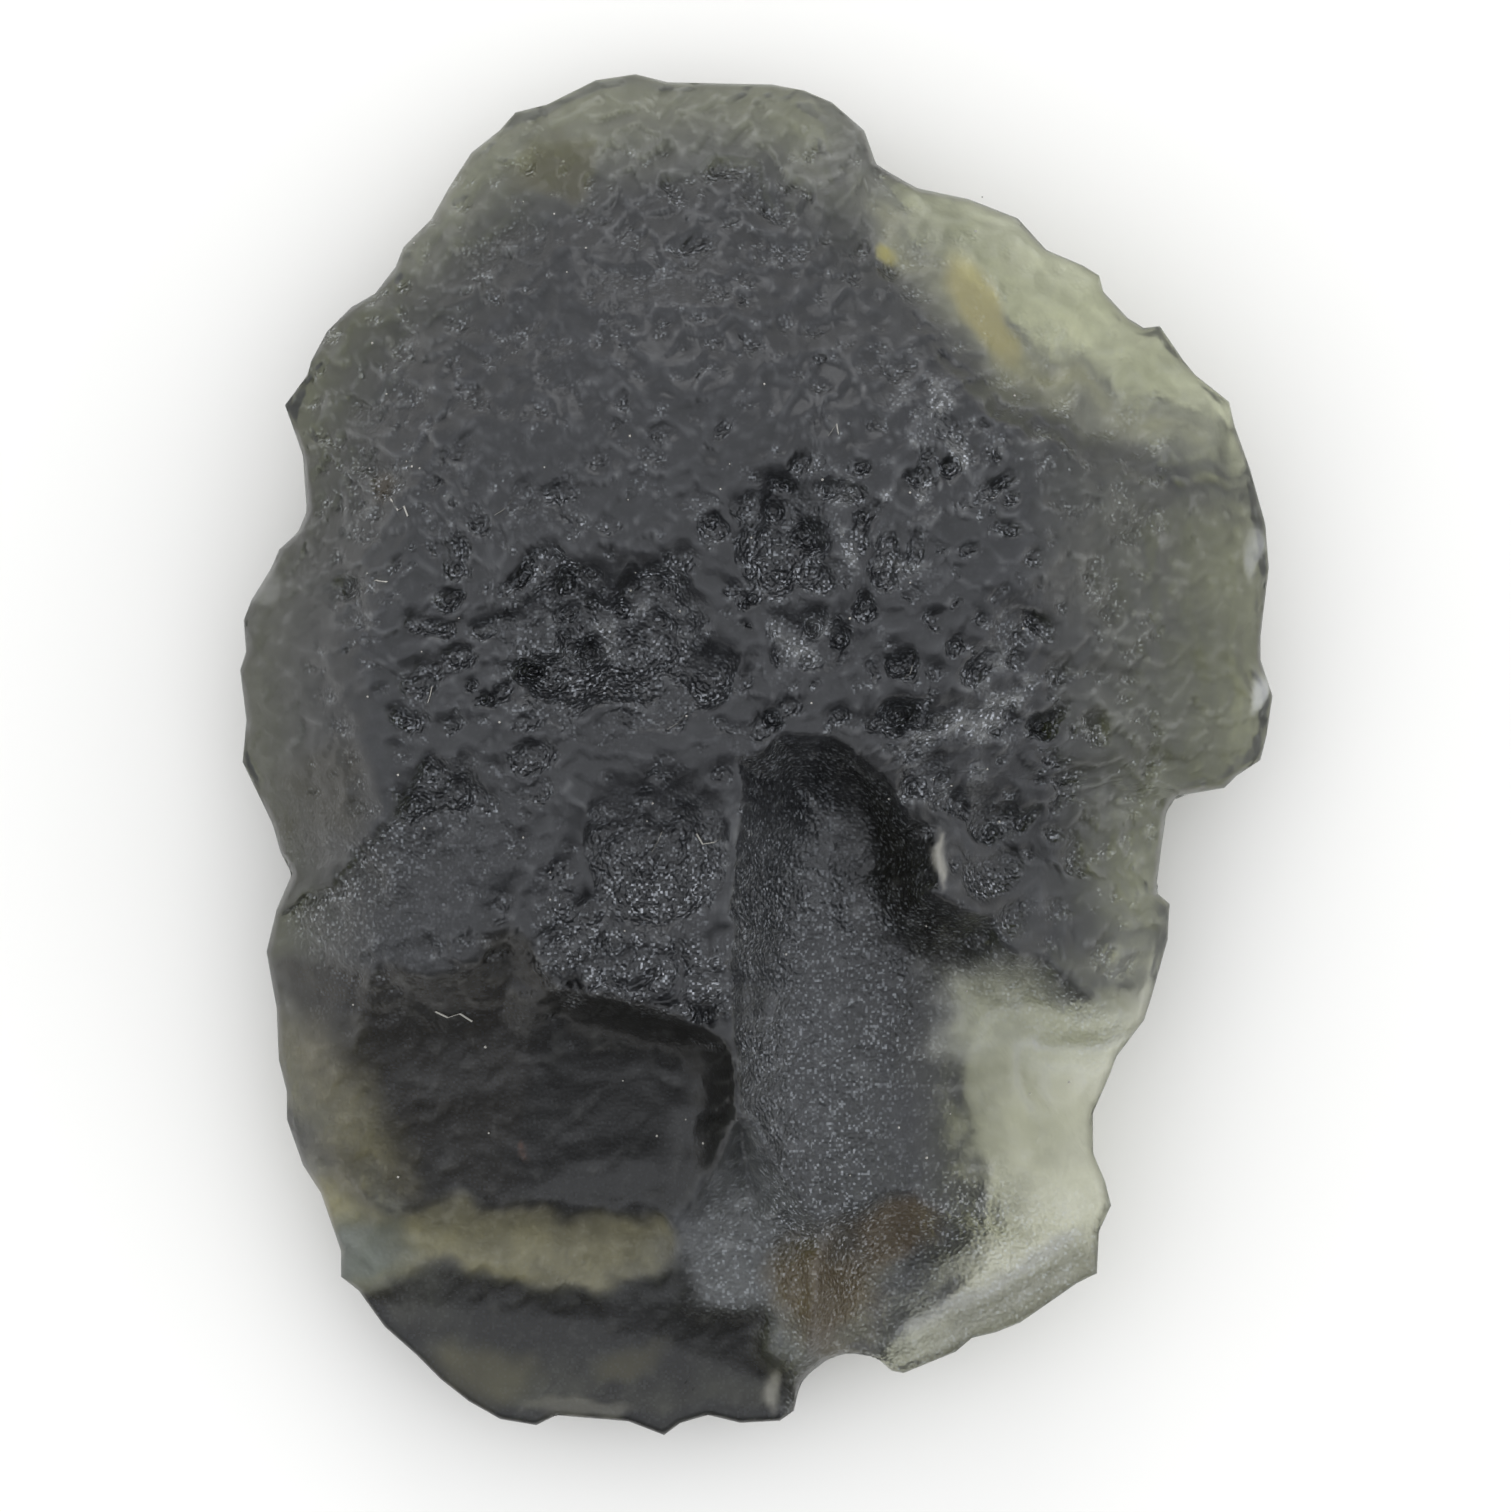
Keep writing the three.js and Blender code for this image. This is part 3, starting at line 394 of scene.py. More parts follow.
def scale_rows(x, y, width, height, salt):
    """Rows of round scales that overlap as roof tiles do: 1 on a scale's lower lip, less above it."""
    row = np.floor(-y / height)
    gaps = []
    for owner in (row - 1, row):
        along = x / width + ROW_SHIFT * scatter(owner, owner, salt)
        cell = np.floor(along)
        longest = LEAST_SAG + (1 - LEAST_SAG) * scatter(cell, owner, salt + 1)
        sag = longest * (1 - (2 * (along - cell) - 1) ** 2)
        gaps.append(y + (owner + 1 + sag) * height)
    gap = np.where(gaps[0] >= 0, gaps[0], gaps[1])
    return np.clip(1 - gap / (OVERLAP * height), 0, 1)


# %% Wandering edges: share, turn per millimetre along x and y, and start of each slow wave
SWAYS_X = [(1.0, 0.7, 1.9, 0.0), (0.6, -2.3, 3.7, 1.3)]
SWAYS_Y = [(1.0, 2.1, -0.6, 0.4), (0.6, 4.1, 2.2, 2.1)]
SWAY_MM, BREAK_MM, SPLINTER_SHARE = 0.05, 0.12, 0.5


def sway(x, y, waves):
    """Slow waves across the stone."""
    return sum(share * np.sin(per_x * x + per_y * y + start) for share, per_x, per_y, start in waves)


def breaks(x, y, salt):
    """Small uneven steps with smaller splinters on them."""
    return drift(x, y, size=0.9, salt=salt) + SPLINTER_SHARE * drift(x, y, size=0.4, salt=salt + 1)


def wander(x, y):
    """Places moved a little sideways, so that every edge wanders as a broken edge does."""
    moved_x = x + SWAY_MM * sway(x, y, SWAYS_X) + BREAK_MM * breaks(x, y, salt=51)
    moved_y = y + SWAY_MM * sway(x, y, SWAYS_Y) + BREAK_MM * breaks(x, y, salt=53)
    return moved_x, moved_y


# %% [markdown]
# ## The lump
# The upper face is a low dome inside a bevel along the rim, the widest line of the stone, and each
# scar pulls it down to a leaning floor behind a hollow wall with a sharp lip. Boolean cuts could make
# the scars too, but they leave hard seams, and two heights are easily blended with a round crease.

# %% The rim: its level, its lean, its waves, and a lift at each of the two pale edges
RIM_LEVEL, RIM_LEAN = 3.1, 0.03
RIM_WAVES = [(0.15, 3, 0.6), (0.12, 7, 1.9)]
RIM_LIFTS = [(1.6, 52, 22), (1.0, -52, 20)]
RIM_HALF, EDGE_ROUND, UPPER_SHARE, LOWER_SHARE = 0.22, 0.15, 0.06, 0.25


def rim_height(x, y):
    """Height of the rim in the direction of each place."""
    angle = np.arctan2(y, x)
    height = RIM_LEVEL + RIM_LEAN * y
    for size, count, start in RIM_WAVES:
        height += size * np.sin(count * angle + start)
    for lift, turn, half in RIM_LIFTS:
        height += lift * np.exp(-(((np.degrees(angle) - turn) / half) ** 2))
    return height


def into_rim(face, rim, distance, share):
    """A face rounded into the rim, over a wider band where it stands farther from the rim."""
    width = EDGE_ROUND + share * np.abs(face - rim)
    left = 1 - np.clip(distance / width, 0, 1)
    return rim + (face - rim) * np.sqrt(1 - left**2)


# %% Dome, bevel and scars
CREST, CREST_SOUTHING, CREST_FALL = 9.8, 5.0, 0.16
SHOULDER, SHOULDER_FALL = 6.6, 0.06
DOME_RUN, DOME_POWER = 9.0, 1.5
BEVEL_START, CREASE_ROUND = 0.3, 0.8
BEVEL_TURNS = (-180, -140, -100, -60, -20, 10, 40, 75, 100, 125, 150, 180)
BEVEL_SLOPES = (1.5, 1.3, 1.2, 1.0, 0.65, 0.7, 0.8, 0.85, 0.8, 1.0, 1.3, 1.5)


def lower_of(a, b):
    """The lower of two heights, with the crease between them rounded."""
    blend = np.maximum(CREASE_ROUND - np.abs(a - b), 0) / CREASE_ROUND
    return np.minimum(a, b) - blend**2 * CREASE_ROUND / 4


def higher_of(a, b):
    """The higher of two heights, with the crease between them rounded."""
    return -lower_of(-a, -b)


def lump_height(x, y):
    """The dome inside its bevel, before any scar."""
    southing = np.minimum(y - CREST_SOUTHING, 0)
    crest = CREST + CREST_FALL * southing
    shoulder = SHOULDER + SHOULDER_FALL * southing
    in_girth = np.maximum(depth_inside(x, y, GIRTH), 0)
    dome = shoulder + (crest - shoulder) * ease(in_girth, DOME_RUN, DOME_POWER)
    slope = np.interp(np.degrees(np.arctan2(y, x)), BEVEL_TURNS, BEVEL_SLOPES)
    return lower_of(dome, rim_height(x, y) + BEVEL_START + slope * in_girth)


def cut_scars(height, x, y, edge_x, edge_y, scars, keep):
    """Moves a face to the floors of its scars, and says how far each scar covers it."""
    cover = {}
    for name, scar in scars.items():
        at_x, at_y, at_z = scar["floor"]
        floor = at_z + scar["slope"][0] * (x - at_x) + scar["slope"][1] * (y - at_y)
        inside = np.maximum(depth_inside(edge_x, edge_y, scar["edge"]), 0)
        cover[name] = ease(inside, scar["wall"], scar["power"])
        height = height + (keep(floor, height) - height) * cover[name]
    return height, cover


# %% [markdown]
# ## The skin of the upper face
# On the lump come pits, ledges, grooves, scales, lumps and stripes, each from its own function that
# gives a depth or a relief in millimetres. Most also say how frosted they leave the glass, because
# rough etched walls glitter. Some also paint light and shade into the colour: the rubbed lips of the
# scales are paler as wear and painted highlight, ridges and facets get painted highlights, and the
# roots of the scales and the gaps between lumps get painted shade. One sculpting brush for all would
# be quicker, but then no form could be changed by itself.

# %% Scattered small pits, drawn once from a seeded list
SEED, PIT_COUNT = 41, 1400
PITTED_X, PITTED_Y = (-11, 10), (-7, 15)
SMALL_HALF, LARGER_BY, LARGER_POWER = (0.13, 0.22), 0.35, 4
PIT_ROUNDNESS, PIT_TURN, PIT_DEPTH_SHARE = (0.6, 1.0), (-60, 60), 0.8
draw = np.random.default_rng(SEED)
SCATTERED_PITS = []
for _ in range(PIT_COUNT):
    pit_x, pit_y = draw.uniform(*PITTED_X), draw.uniform(*PITTED_Y)
    half = draw.uniform(*SMALL_HALF) + LARGER_BY * draw.random() ** LARGER_POWER
    half_length = half * draw.uniform(*PIT_ROUNDNESS)
    turn = draw.uniform(*PIT_TURN)
    SCATTERED_PITS.append((pit_x, pit_y, half, half_length, turn, PIT_DEPTH_SHARE * half))
print("scattered pits:", len(SCATTERED_PITS))

# %% Etch the pits
STEEP_GAIN, STEEP_FROM = 3.0, 0.3
# The lower wall of a pit faces the key light, so it gets more frost and therefore more painted glints.
LIT_MIDDLE, LIT_FALL, LIT_LEAST = 0.6, 0.7, 0.15
NAMED_FROST, SCATTERED_FROST = 2.5, 2.0
PIT_REACH, QUIET_DEPTH, SPARKLING_SOFT = 0.55, 0.45, 1.5


def pit_depth(x, y, pit):
    """Depth of an oval pit at each place, 0 outside it."""
    middle_x, middle_y, half_width, half_length, turn, depth = pit
    cos, sin = np.cos(np.radians(turn)), np.sin(np.radians(turn))
    across = ((x - middle_x) * cos + (y - middle_y) * sin) / half_width
    along = ((y - middle_y) * cos - (x - middle_x) * sin) / half_length
    return depth * np.clip(1 - across**2 - along**2, 0, 1)


def pit_frost(y, depth, pit, gain):
    """How rough a pit is etched, which also sets its painted glints: most on its lower wall, which
    faces the key light, less in a shallow pit, not at all at its very edge.
    """
    _, middle_y, half_width, half_length, _, deepest = pit
    steep = np.clip(STEEP_GAIN * deepest / half_width - STEEP_FROM, 0, 1)
    lit = np.clip(LIT_MIDDLE - LIT_FALL * (y - middle_y) / half_length, LIT_LEAST, 1)
    return np.clip(gain * depth / deepest, 0, 1) * steep * lit


def etch_pits(x, y, edge_x, edge_y, etched):
    """How deep all the pits are together, and how frosted."""
    depth, frost = np.zeros(x.shape), np.zeros(x.shape)
    for pit in UPPER_PITS + SMALL_PITS:
        cut = pit_depth(edge_x, edge_y, pit)
        depth += cut
        frost = np.maximum(frost, pit_frost(edge_y, cut, pit, NAMED_FROST))
    sparkling = zone(x, y, SPARKLING_PITS, SPARKLING_SOFT)
    strength = etched * (QUIET_DEPTH + (1 - QUIET_DEPTH) * sparkling)
    for pit in SCATTERED_PITS:
        near = (np.abs(x - pit[0]) < PIT_REACH) & (np.abs(y - pit[1]) < PIT_REACH)
        cut = pit_depth(edge_x[near], edge_y[near], pit) * strength[near]
        depth[near] += cut
        frost[near] = np.maximum(frost[near], pit_frost(edge_y[near], cut, pit, SCATTERED_FROST))
    return depth, frost


# %% Cut the ledges and the grooves
LEDGE_FACE, LINE_FADE, LEDGE_FROST, GROOVE_END = 0.14, 0.6, 2.5, 0.2


def cut_ledges(x, y):
    """How far all the ledges drop together, and how frosted their faces are."""
    depth, frost = np.zeros(x.shape), np.zeros(x.shape)
    for line, drop, reach in LEDGES:
        gap, to_end = beside_line(x, y, line)
        face = np.clip(gap / LEDGE_FACE, 0, 1) * np.exp(-np.maximum(gap, 0) / reach)
        cut = drop * face * np.clip(to_end / LINE_FADE, 0, 1)
        depth += cut
        frost = np.maximum(frost, np.clip(LEDGE_FROST * cut, 0, 1))
    return depth, frost


def cut_grooves(x, y):
    """How deep all the grooves are together."""
    depth = np.zeros(x.shape)
    for line, deepest, half_width in GROOVES:
        gap, to_end = beside_line(x, y, line)
        fade = np.clip(to_end / LINE_FADE + GROOVE_END, 0, 1)
        depth += deepest * np.exp(-((gap / half_width) ** 2)) * fade
    return depth


# %% Etch the broad dimples, the scales and the scallops; paint their lips paler as wear and highlight, and their roots with painted shade
MIDWAY = 0.5
BROAD_RELIEF, SCALE_RELIEF, SCALLOP_RELIEF, FLOOR_ETCH = 0.15, 0.16, 0.06, 0.4
ROW_SWAY, ROW_RIPPLE, ROW_LEAN = 0.4, 0.15, 0.12
SCALY, SCALY_PATCHES, SCALY_LEAST = 0.7, 0.6, 0.2
# Pale lips are partly wear and partly painted highlight, and dark roots are painted shade. Scallop
# ridges get a painted highlight and their hollows painted shade.
LIP_WEAR_AND_HIGHLIGHT, LIP_FROM = 6.0, 0.82
ROOT_SHADE, ROOT_BELOW, ROOT_MOST = 1.5, 0.45, 0.3
RIDGE_PAINTED_LIGHT, RIDGE_FROM, RIDGE_LIMITS = 0.5, 0.6, (-0.5, 1.0)


def etch_scales(x, y, edge_x, edge_y, etched):
    """Relief of the etched skin, and its paint: pale lips above 0 as wear and painted highlight,
    painted shade at the roots below.
    """
    row_x = edge_x + ROW_SWAY * drift(x, y, size=2.3, salt=81)
    row_y = edge_y + ROW_SWAY * drift(x, y, size=2.6, salt=82)
    row_y = row_y + ROW_RIPPLE * drift(x, y, size=0.8, salt=83) - ROW_LEAN * x
    broad = dimples(edge_x, edge_y, width=2.4, length=1.4, salt=3)
    scales = scale_rows(row_x, row_y, width=1.15, height=0.55, salt=11)
    scallops = dimples(edge_x, edge_y, width=0.5, length=0.38, salt=23, power=1.5)
    scaly = etched * np.clip(SCALY + SCALY_PATCHES * drift(x, y, size=2.8, salt=84), SCALY_LEAST, 1)
    everywhere = FLOOR_ETCH + (1 - FLOOR_ETCH) * etched
    relief = everywhere * (BROAD_RELIEF * (broad - MIDWAY) + SCALLOP_RELIEF * (scallops - MIDWAY))
    relief += SCALE_RELIEF * scaly * (scales - MIDWAY)
    lips = LIP_WEAR_AND_HIGHLIGHT * np.clip(scales - LIP_FROM, 0, 1 - LIP_FROM)
    roots = ROOT_SHADE * np.clip(ROOT_BELOW - scales, 0, ROOT_MOST)
    wear_and_painted_light = scaly * (lips - roots) + RIDGE_PAINTED_LIGHT * np.clip(scallops - RIDGE_FROM, *RIDGE_LIMITS)
    return relief, wear_and_painted_light


# %% Etch the lumps and the stripes, with painted shade in the gaps, and find the facets that get painted highlights
LUMP_RELIEF, LUMP_LEVEL, LUMPY_SOFT = 0.36, 0.6, 0.6
LUMP_FROST, GAP_FROST, FROST_LEAST, GAP_SHADE = 1.1, 1.2, 0.05, 0.8
STRIPE_RELIEF, STRIPE_LEAN, STRIPED_SOFT = 0.09, 0.1, 2.0
FACETED, FACET_PATCHES, FACET_SOFT = 0.4, 1.4, 0.8


def etch_lumps(x, y):
    """Relief of the lumpy band, how frosted its lumps are and how much painted shade falls in the gaps
    between them.
    """
    lumpy = zone(x, y, LUMPY_BAND, LUMPY_SOFT)
    gaps = dimples(x, y, width=0.62, length=0.55, salt=37)
    relief = LUMP_RELIEF * lumpy * (LUMP_LEVEL - gaps)
    frost = lumpy * np.clip(LUMP_FROST - GAP_FROST * gaps, FROST_LEAST, 1)
    shade = GAP_SHADE * lumpy * np.clip(gaps - MIDWAY, 0, 1)
    return relief, frost, shade


def etch_stripes(x, y, edge_x, edge_y):
    """Relief of the long narrow stripes down the right flank."""
    leaning_x = edge_x + STRIPE_LEAN * edge_y
    stripes = dimples(leaning_x, edge_y, width=0.42, length=2.6, salt=43, power=1.3)
    return STRIPE_RELIEF * zone(x, y, STRIPED_FLANK, STRIPED_SOFT) * (stripes - MIDWAY)


def bright_facets(x, y, edge_x, edge_y):
    """Where small facets get painted highlights and more frost, patch by patch, for each of the loops.
    """
    patches = np.clip(FACETED + FACET_PATCHES * drift(x, y, size=0.45, salt=61), 0, 1)
    return [zone(edge_x, edge_y, loop, FACET_SOFT) * patches for loop in BRIGHT_FACETS]


# %% The whole upper face
CALM_SCARS, FLOOR_CALM = ("pale flange", "big scoop", "south-west scar"), 0.6
SKIN_FROST, SCAR_FROST, GULLY_FROST = 0.06, 0.05, 0.35
SCOOP_FROST, SCOOP_PATCHES, SCOOP_START = 0.42, 0.2, 4
# Facets are painted paler as a highlight.
GROOVE_WEAR, FACET_HIGHLIGHT = 8.0, 1.3


def scar_frost(x, y, cover):
    """How frosted the scars are: the big scoop in patches, the gully, the rest a little."""
    in_scoop = np.clip(SCOOP_START * cover["big scoop"], 0, 1) * (1 - cover["south-east floor"])
    scoop = in_scoop * (SCOOP_FROST + SCOOP_PATCHES * drift(x, y, size=1.2, salt=91))
    gully = GULLY_FROST * cover["gully"] * (1 - cover["skirt"])
    return SKIN_FROST + scoop + SCAR_FROST * cover["south-west scar"] + gully


def upper_height(x, y, distance):
    """Height of the upper face at each place, how frosted it is, and its wear with painted highlight
    above 0 and painted shade below.
    """
    edge_x, edge_y = wander(x, y)
    height, cover = cut_scars(lump_height(x, y), x, y, edge_x, edge_y, UPPER_SCARS, lower_of)
    etched = 1 - FLOOR_CALM * np.maximum.reduce([cover[name] for name in CALM_SCARS])
    pits, pits_frost = etch_pits(x, y, edge_x, edge_y, etched)
    ledges, ledges_frost = cut_ledges(edge_x, edge_y)
    grooves = cut_grooves(edge_x, edge_y)
    scales, wear_and_painted_light = etch_scales(x, y, edge_x, edge_y, etched)
    lumps, lumps_frost, gap_shade = etch_lumps(edge_x, edge_y)
    stripes = etch_stripes(x, y, edge_x, edge_y)
    facets = bright_facets(x, y, edge_x, edge_y)
    height = height - pits - ledges - grooves + scales + lumps + stripes
    frosts = [scar_frost(x, y, cover), pits_frost, ledges_frost, lumps_frost, *facets]
    # Above 0 is pale wear and painted highlight, and below 0 is painted shade.
    wear_and_painted_light = wear_and_painted_light + GROOVE_WEAR * grooves + FACET_HIGHLIGHT * sum(facets) - gap_shade
    rim = rim_height(x, y)
    height = into_rim(np.maximum(height, rim + RIM_HALF), rim, distance, UPPER_SHARE)
    return height, np.clip(np.maximum.reduce(frosts), 0, 1), wear_and_painted_light


# %% [markdown]
# ## The underside
# The photo doesn't show it, so it is kept simple: a flat oval to rest on, a belly that curves up to
# the rim, three hollows that thin the glass, and pits and dimples as on such stones. The flat oval
# stays untouched, so that the stone lies as firmly as its solid does.

# %% The whole lower face
SPOT_AT, SPOT_HALF_WIDTH, SPOT_HALF_LENGTH, BELLY = (-0.8, 0.5), 4.2, 6.2, 0.19
UNDER_RELIEF, UNDER_LEVEL = 0.16, 1.2


def lower_height(x, y, distance):
    """Height of the lower face at each place."""
    edge_x, edge_y = wander(x, y)
    spot = ((x - SPOT_AT[0]) / SPOT_HALF_WIDTH) ** 2 + ((y - SPOT_AT[1]) / SPOT_HALF_LENGTH) ** 2
    beyond_spot = np.maximum(spot - 1, 0)
    height, _ = cut_scars(BELLY * beyond_spot, x, y, edge_x, edge_y, LOWER_SCARS, higher_of)
    off_spot = np.minimum(beyond_spot, 1)
    for pit in LOWER_PITS:
        height += pit_depth(x, y, pit) * off_spot
    dents = dimples(edge_x, edge_y, width=1.6, length=1.3, salt=31)
    height += UNDER_RELIEF * off_spot * (UNDER_LEVEL - dents)
    rim = rim_height(x, y)
    return into_rim(np.minimum(height, rim - RIM_HALF), rim, distance, LOWER_SHARE)


# %% [markdown]
# ## The stone's mesh
# A copy of the solid's own mesh gives the right outline and a clean skin to start from. Its doubled
# vertices are merged and its edges cut a fixed number of times, more often on the upper face, which
# has the sculpture. Upper edges that are still long are halved once. A subdivision surface would
# round the rim off, and plain cuts keep it. Every vertex then goes to the height of its face.

# %% Cut the solid's copy finer
UPPER_CUTS, LOWER_CUTS, LOWER_LIMIT, LONGEST = 3, 1, 2.4 * MM, 0.21 * MM
DOUBLES = 0.002 * MM
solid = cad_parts["moldavite"]
mesh = bpy.data.meshes.new("moldavite_skin")
skin = bmesh.new()
skin.from_mesh(solid.data)
bmesh.ops.remove_doubles(skin, verts=skin.verts, dist=DOUBLES)
is_high = {edge: max(vert.co.z for vert in edge.verts) > LOWER_LIMIT for edge in skin.edges}
low_edges = [edge for edge, high in is_high.items() if not high]
high_edges = [edge for edge, high in is_high.items() if high]
bmesh.ops.subdivide_edges(skin, edges=high_edges, cuts=UPPER_CUTS, use_grid_fill=True)
bmesh.ops.subdivide_edges(skin, edges=low_edges, cuts=LOWER_CUTS, use_grid_fill=True)
bmesh.ops.triangulate(skin, faces=skin.faces)
upper_edges = [edge for edge in skin.edges if edge.verts[0].co.z > LOWER_LIMIT]
long_edges = [edge for edge in upper_edges if edge.calc_length() > LONGEST]
bmesh.ops.subdivide_edges(skin, edges=long_edges, cuts=1)
bmesh.ops.triangulate(skin, faces=skin.faces)
skin.to_mesh(mesh)
skin.free()
print("skin vertices:", len(mesh.vertices), "triangles:", len(mesh.polygons))

# %% Send every vertex to its height, with grit where the glass is frosted
GRIT_MM, GRIT_FROM_RIM = 0.03, 0.3
places = np.empty(len(mesh.vertices) * 3)
mesh.vertices.foreach_get("co", places)
places = places.reshape(-1, 3) / MM
x, y, z = places.T.copy()
inward = np.maximum(depth_inside(x, y, OUTLINE), 0)
is_upper = z >= rim_height(x, y)
upper, frosted, wear_and_painted_light = upper_height(x, y, inward)
lower = lower_height(x, y, inward)
places[:, 2] = np.where(is_upper, upper, lower)
grit = GRIT_MM * frosted * draw.normal(0, 1, len(places)) * np.clip(inward / GRIT_FROM_RIM, 0, 1)
places[:, 2] += np.where(is_upper, grit, 0)
mesh.vertices.foreach_set("co", (places * MM).ravel())
mesh.update()
mesh.shade_smooth()
stone = bpy.data.objects.new("moldavite_skin", mesh)
bpy.context.scene.collection.objects.link(stone)
print("height of the skin in mm:", round(places[:, 2].max(), 2))

# %% [markdown]
# ## Colours in the glass
# Most of the colour comes from the thickness of the glass, but some places have their own: pale
# flanges, dark brown scars, a brown step, an ochre spot, an amber streak and a whitish crust under
# the scoop's lip. Other colour stands in for light: painted shade makes the scars and the skirt
# almost black and darkens the scoop's right wall, painted sheen lifts the scoop floor and the gully,
# painted light lifts two shaded walls and the amber streak, one facet has a painted reflection and
# the rim has painted highlights. Soft zones and soft ovals with wandering edges give them, the lips
# of the scales are paler as wear and painted highlight, and their roots darker as painted shade. An
# image could hold them too, but values on the vertices follow the surface.

# %% Colours of the plain glass: at the edge, in the middle, and on pale lips, which are wear and painted highlight
CLEAR_GLASS, DEEP_GLASS, PALE_WEAR_AND_HIGHLIGHT_GLASS = "#f4f4ee", "#7e8086", "#b4b4b0"
EDGE_WIDTH, DEEP_CLEAR = 3.0, 0.94


def linear(hex_colour):
    """Linear colour of an sRGB hex value."""
    parts = np.array([int(hex_colour[i : i + 2], 16) / 255 for i in (1, 3, 5)])
    return np.where(parts <= 0.04045, parts / 12.92, ((parts + 0.055) / 1.055) ** 2.4)


edge_share = np.clip(1 - inward / EDGE_WIDTH, 0, 1)
tints = linear(DEEP_GLASS) + edge_share[:, None] * (linear(CLEAR_GLASS) - linear(DEEP_GLASS))
clear = DEEP_CLEAR + edge_share * (1 - DEEP_CLEAR)
print("share of the skin near an edge:", round(np.mean(edge_share > 0), 2))

# %% Zones: edge, colour, share of clear glass, width of the soft border
scar_edges = {name: scar["edge"] for name, scar in UPPER_SCARS.items()}
terrace, skirt = scar_edges["terrace"], scar_edges["skirt"]
TINT_ZONES = {
    "pale flange": dict(
        edge=[
            (2.6, 14.4), (3.2, 13.2), (4.1, 11.7), (5.3, 10.1), (6.2, 9.2), (7.3, 8.6), (9, 8.0),
            (11.5, 7), (14, 6), (14, 16),
        ],
        colour="#fafcea", clear=0.97, soft=1.0,
    ),
    # Painted light: a pale olive lift on the flange's inner wall, which renders shaded.
    "painted light on the flange border": dict(
        edge=[
            (2.4, 14.2), (3.2, 13.8), (4.9, 11.9), (6.6, 10.4), (8.0, 9.5), (11, 8.2), (11, 7.4),
            (7.5, 8.6), (6.2, 9.0), (4.9, 10.3), (3.6, 12.0),
        ],
        colour="#bcba94", clear=0.66, soft=1.2,
    ),
    "pale south-east floor": dict(
        edge=[
            (4.0, -4.8), (4.4, -6.5), (4.2, -9), (4.7, -10.5), (5.0, -12), (4, -16), (12, -16),
            (12, -7), (8.6, -6.2), (5.8, -5),
        ],
        colour="#fffff4", clear=1.0, soft=1.2,
    ),
    # Painted light: a pale lift on the dark wall above the south-east floor.
    "painted light on the floor's upper border": dict(
        edge=[
            (4.6, -5.3), (6.0, -5.2), (7.4, -5.9), (8.8, -6.6), (8.6, -7.6), (6.4, -7.2), (4.8, -7.2),
        ],
        colour="#c8c8b0", clear=0.66, soft=1.0,
    ),
    "terrace": dict(
        edge=terrace[:13] + skirt[9::-1],
        colour="#c8c096", clear=0.82, soft=0.4,
    ),
    # Painted reflection: a blue-grey sheen on the facet at the terrace's left end.
    "painted reflection on the terrace's left end": dict(
        edge=[(-10.6, -11.8), (-9.0, -11.5), (-8.6, -12.4), (-9.2, -13.0), (-10.6, -13.4)],
        colour="#969c98", clear=0.86, soft=0.6,
    ),
    "right flank": dict(
        edge=[(7.4, 7.2), (13, 7.0), (13, -1.0), (10.4, -1.4), (10.4, -5), (8.4, -3.5)],
        colour="#e0e0d0", clear=0.94, soft=2.0,
    ),
    "top edge": dict(
        edge=[(-9.5, 11.5), (-5, 14.3), (0, 15), (2.4, 14.2), (3, 18), (-4, 19), (-11, 14)],
        colour="#d4d4c0", clear=0.86, soft=1.8,
    ),
    "foot of the right flank": dict(
        edge=[(8.4, -1.0), (10.6, -1.0), (10.4, -5.4), (8.8, -5.4)],
        colour="#f4f4e4", clear=0.9, soft=1.2,
    ),
    # Painted sheen: a grey lift on the scoop floor, where it faces the key light.
    "painted sheen on the scoop floor": dict(
        edge=[
            (-0.6, -1.2), (0.6, -1.0), (1.8, -1.6), (2.2, -3.5), (2.6, -6), (3.2, -9), (2.4, -10.8),
            (0.4, -9), (-0.5, -7), (-0.7, -3),
        ],
        colour="#84868a", clear=0.88, soft=1.6,
    ),
    # Painted shade: the scoop's wall that faces away from the key light is darkened.
    "painted shade on the scoop's right wall": dict(
        edge=[
            (2.0, 0.4), (3.2, -0.5), (4.3, -2), (4.3, -3.4), (5.6, -4), (4.4, -5), (3.2, -4), (2.6, -2),
        ],
        colour="#44423a", clear=0.93, soft=1.2,
    ),
    # Dark brown glass, darkened further as painted shade of the south-facing scar.
    "south-west scar": dict(
        edge=scar_edges["south-west scar"][1:20] + [(-1.0, -10), (-1.7, -11.1)] + terrace[10:3:-1],
        colour="#40341e", clear=0.94, soft=0.4,
    ),
    # Dark brown glass, darkened almost to black as painted shade of the south-facing hollow.
    "black hollow": dict(
        edge=scar_edges["black hollow"],
        colour="#26221a", clear=0.95, soft=0.5,
    ),
    "scar's pale left edge": dict(
        edge=[(-11.8, -6.6), (-10.4, -7.0), (-9.4, -9.0), (-8.6, -10.6), (-10.8, -10.8)],
        colour="#d8ceaa", clear=0.92, soft=1.2,
    ),
    # Painted sheen: a light grey lift on the gully, which faces the key light.
    "gully": dict(
        edge=scar_edges["gully"],
        colour="#a2a4a6", clear=0.82, soft=0.6,
    ),
    # Dark brown glass, darkened further as painted shade of the south-facing skirt.
    "skirt": dict(
        edge=skirt,
        colour="#1e180a", clear=0.97, soft=0.5,
    ),
    "wrinkled rim": dict(
        edge=[(3.5, -15.6), (5, -13.6), (8, -12.1), (9, -12.4), (9, -14), (6, -16)],
        colour="#a0a094", clear=1.0, soft=0.8,
    ),
}
print("colour zones:", ", ".join(TINT_ZONES))

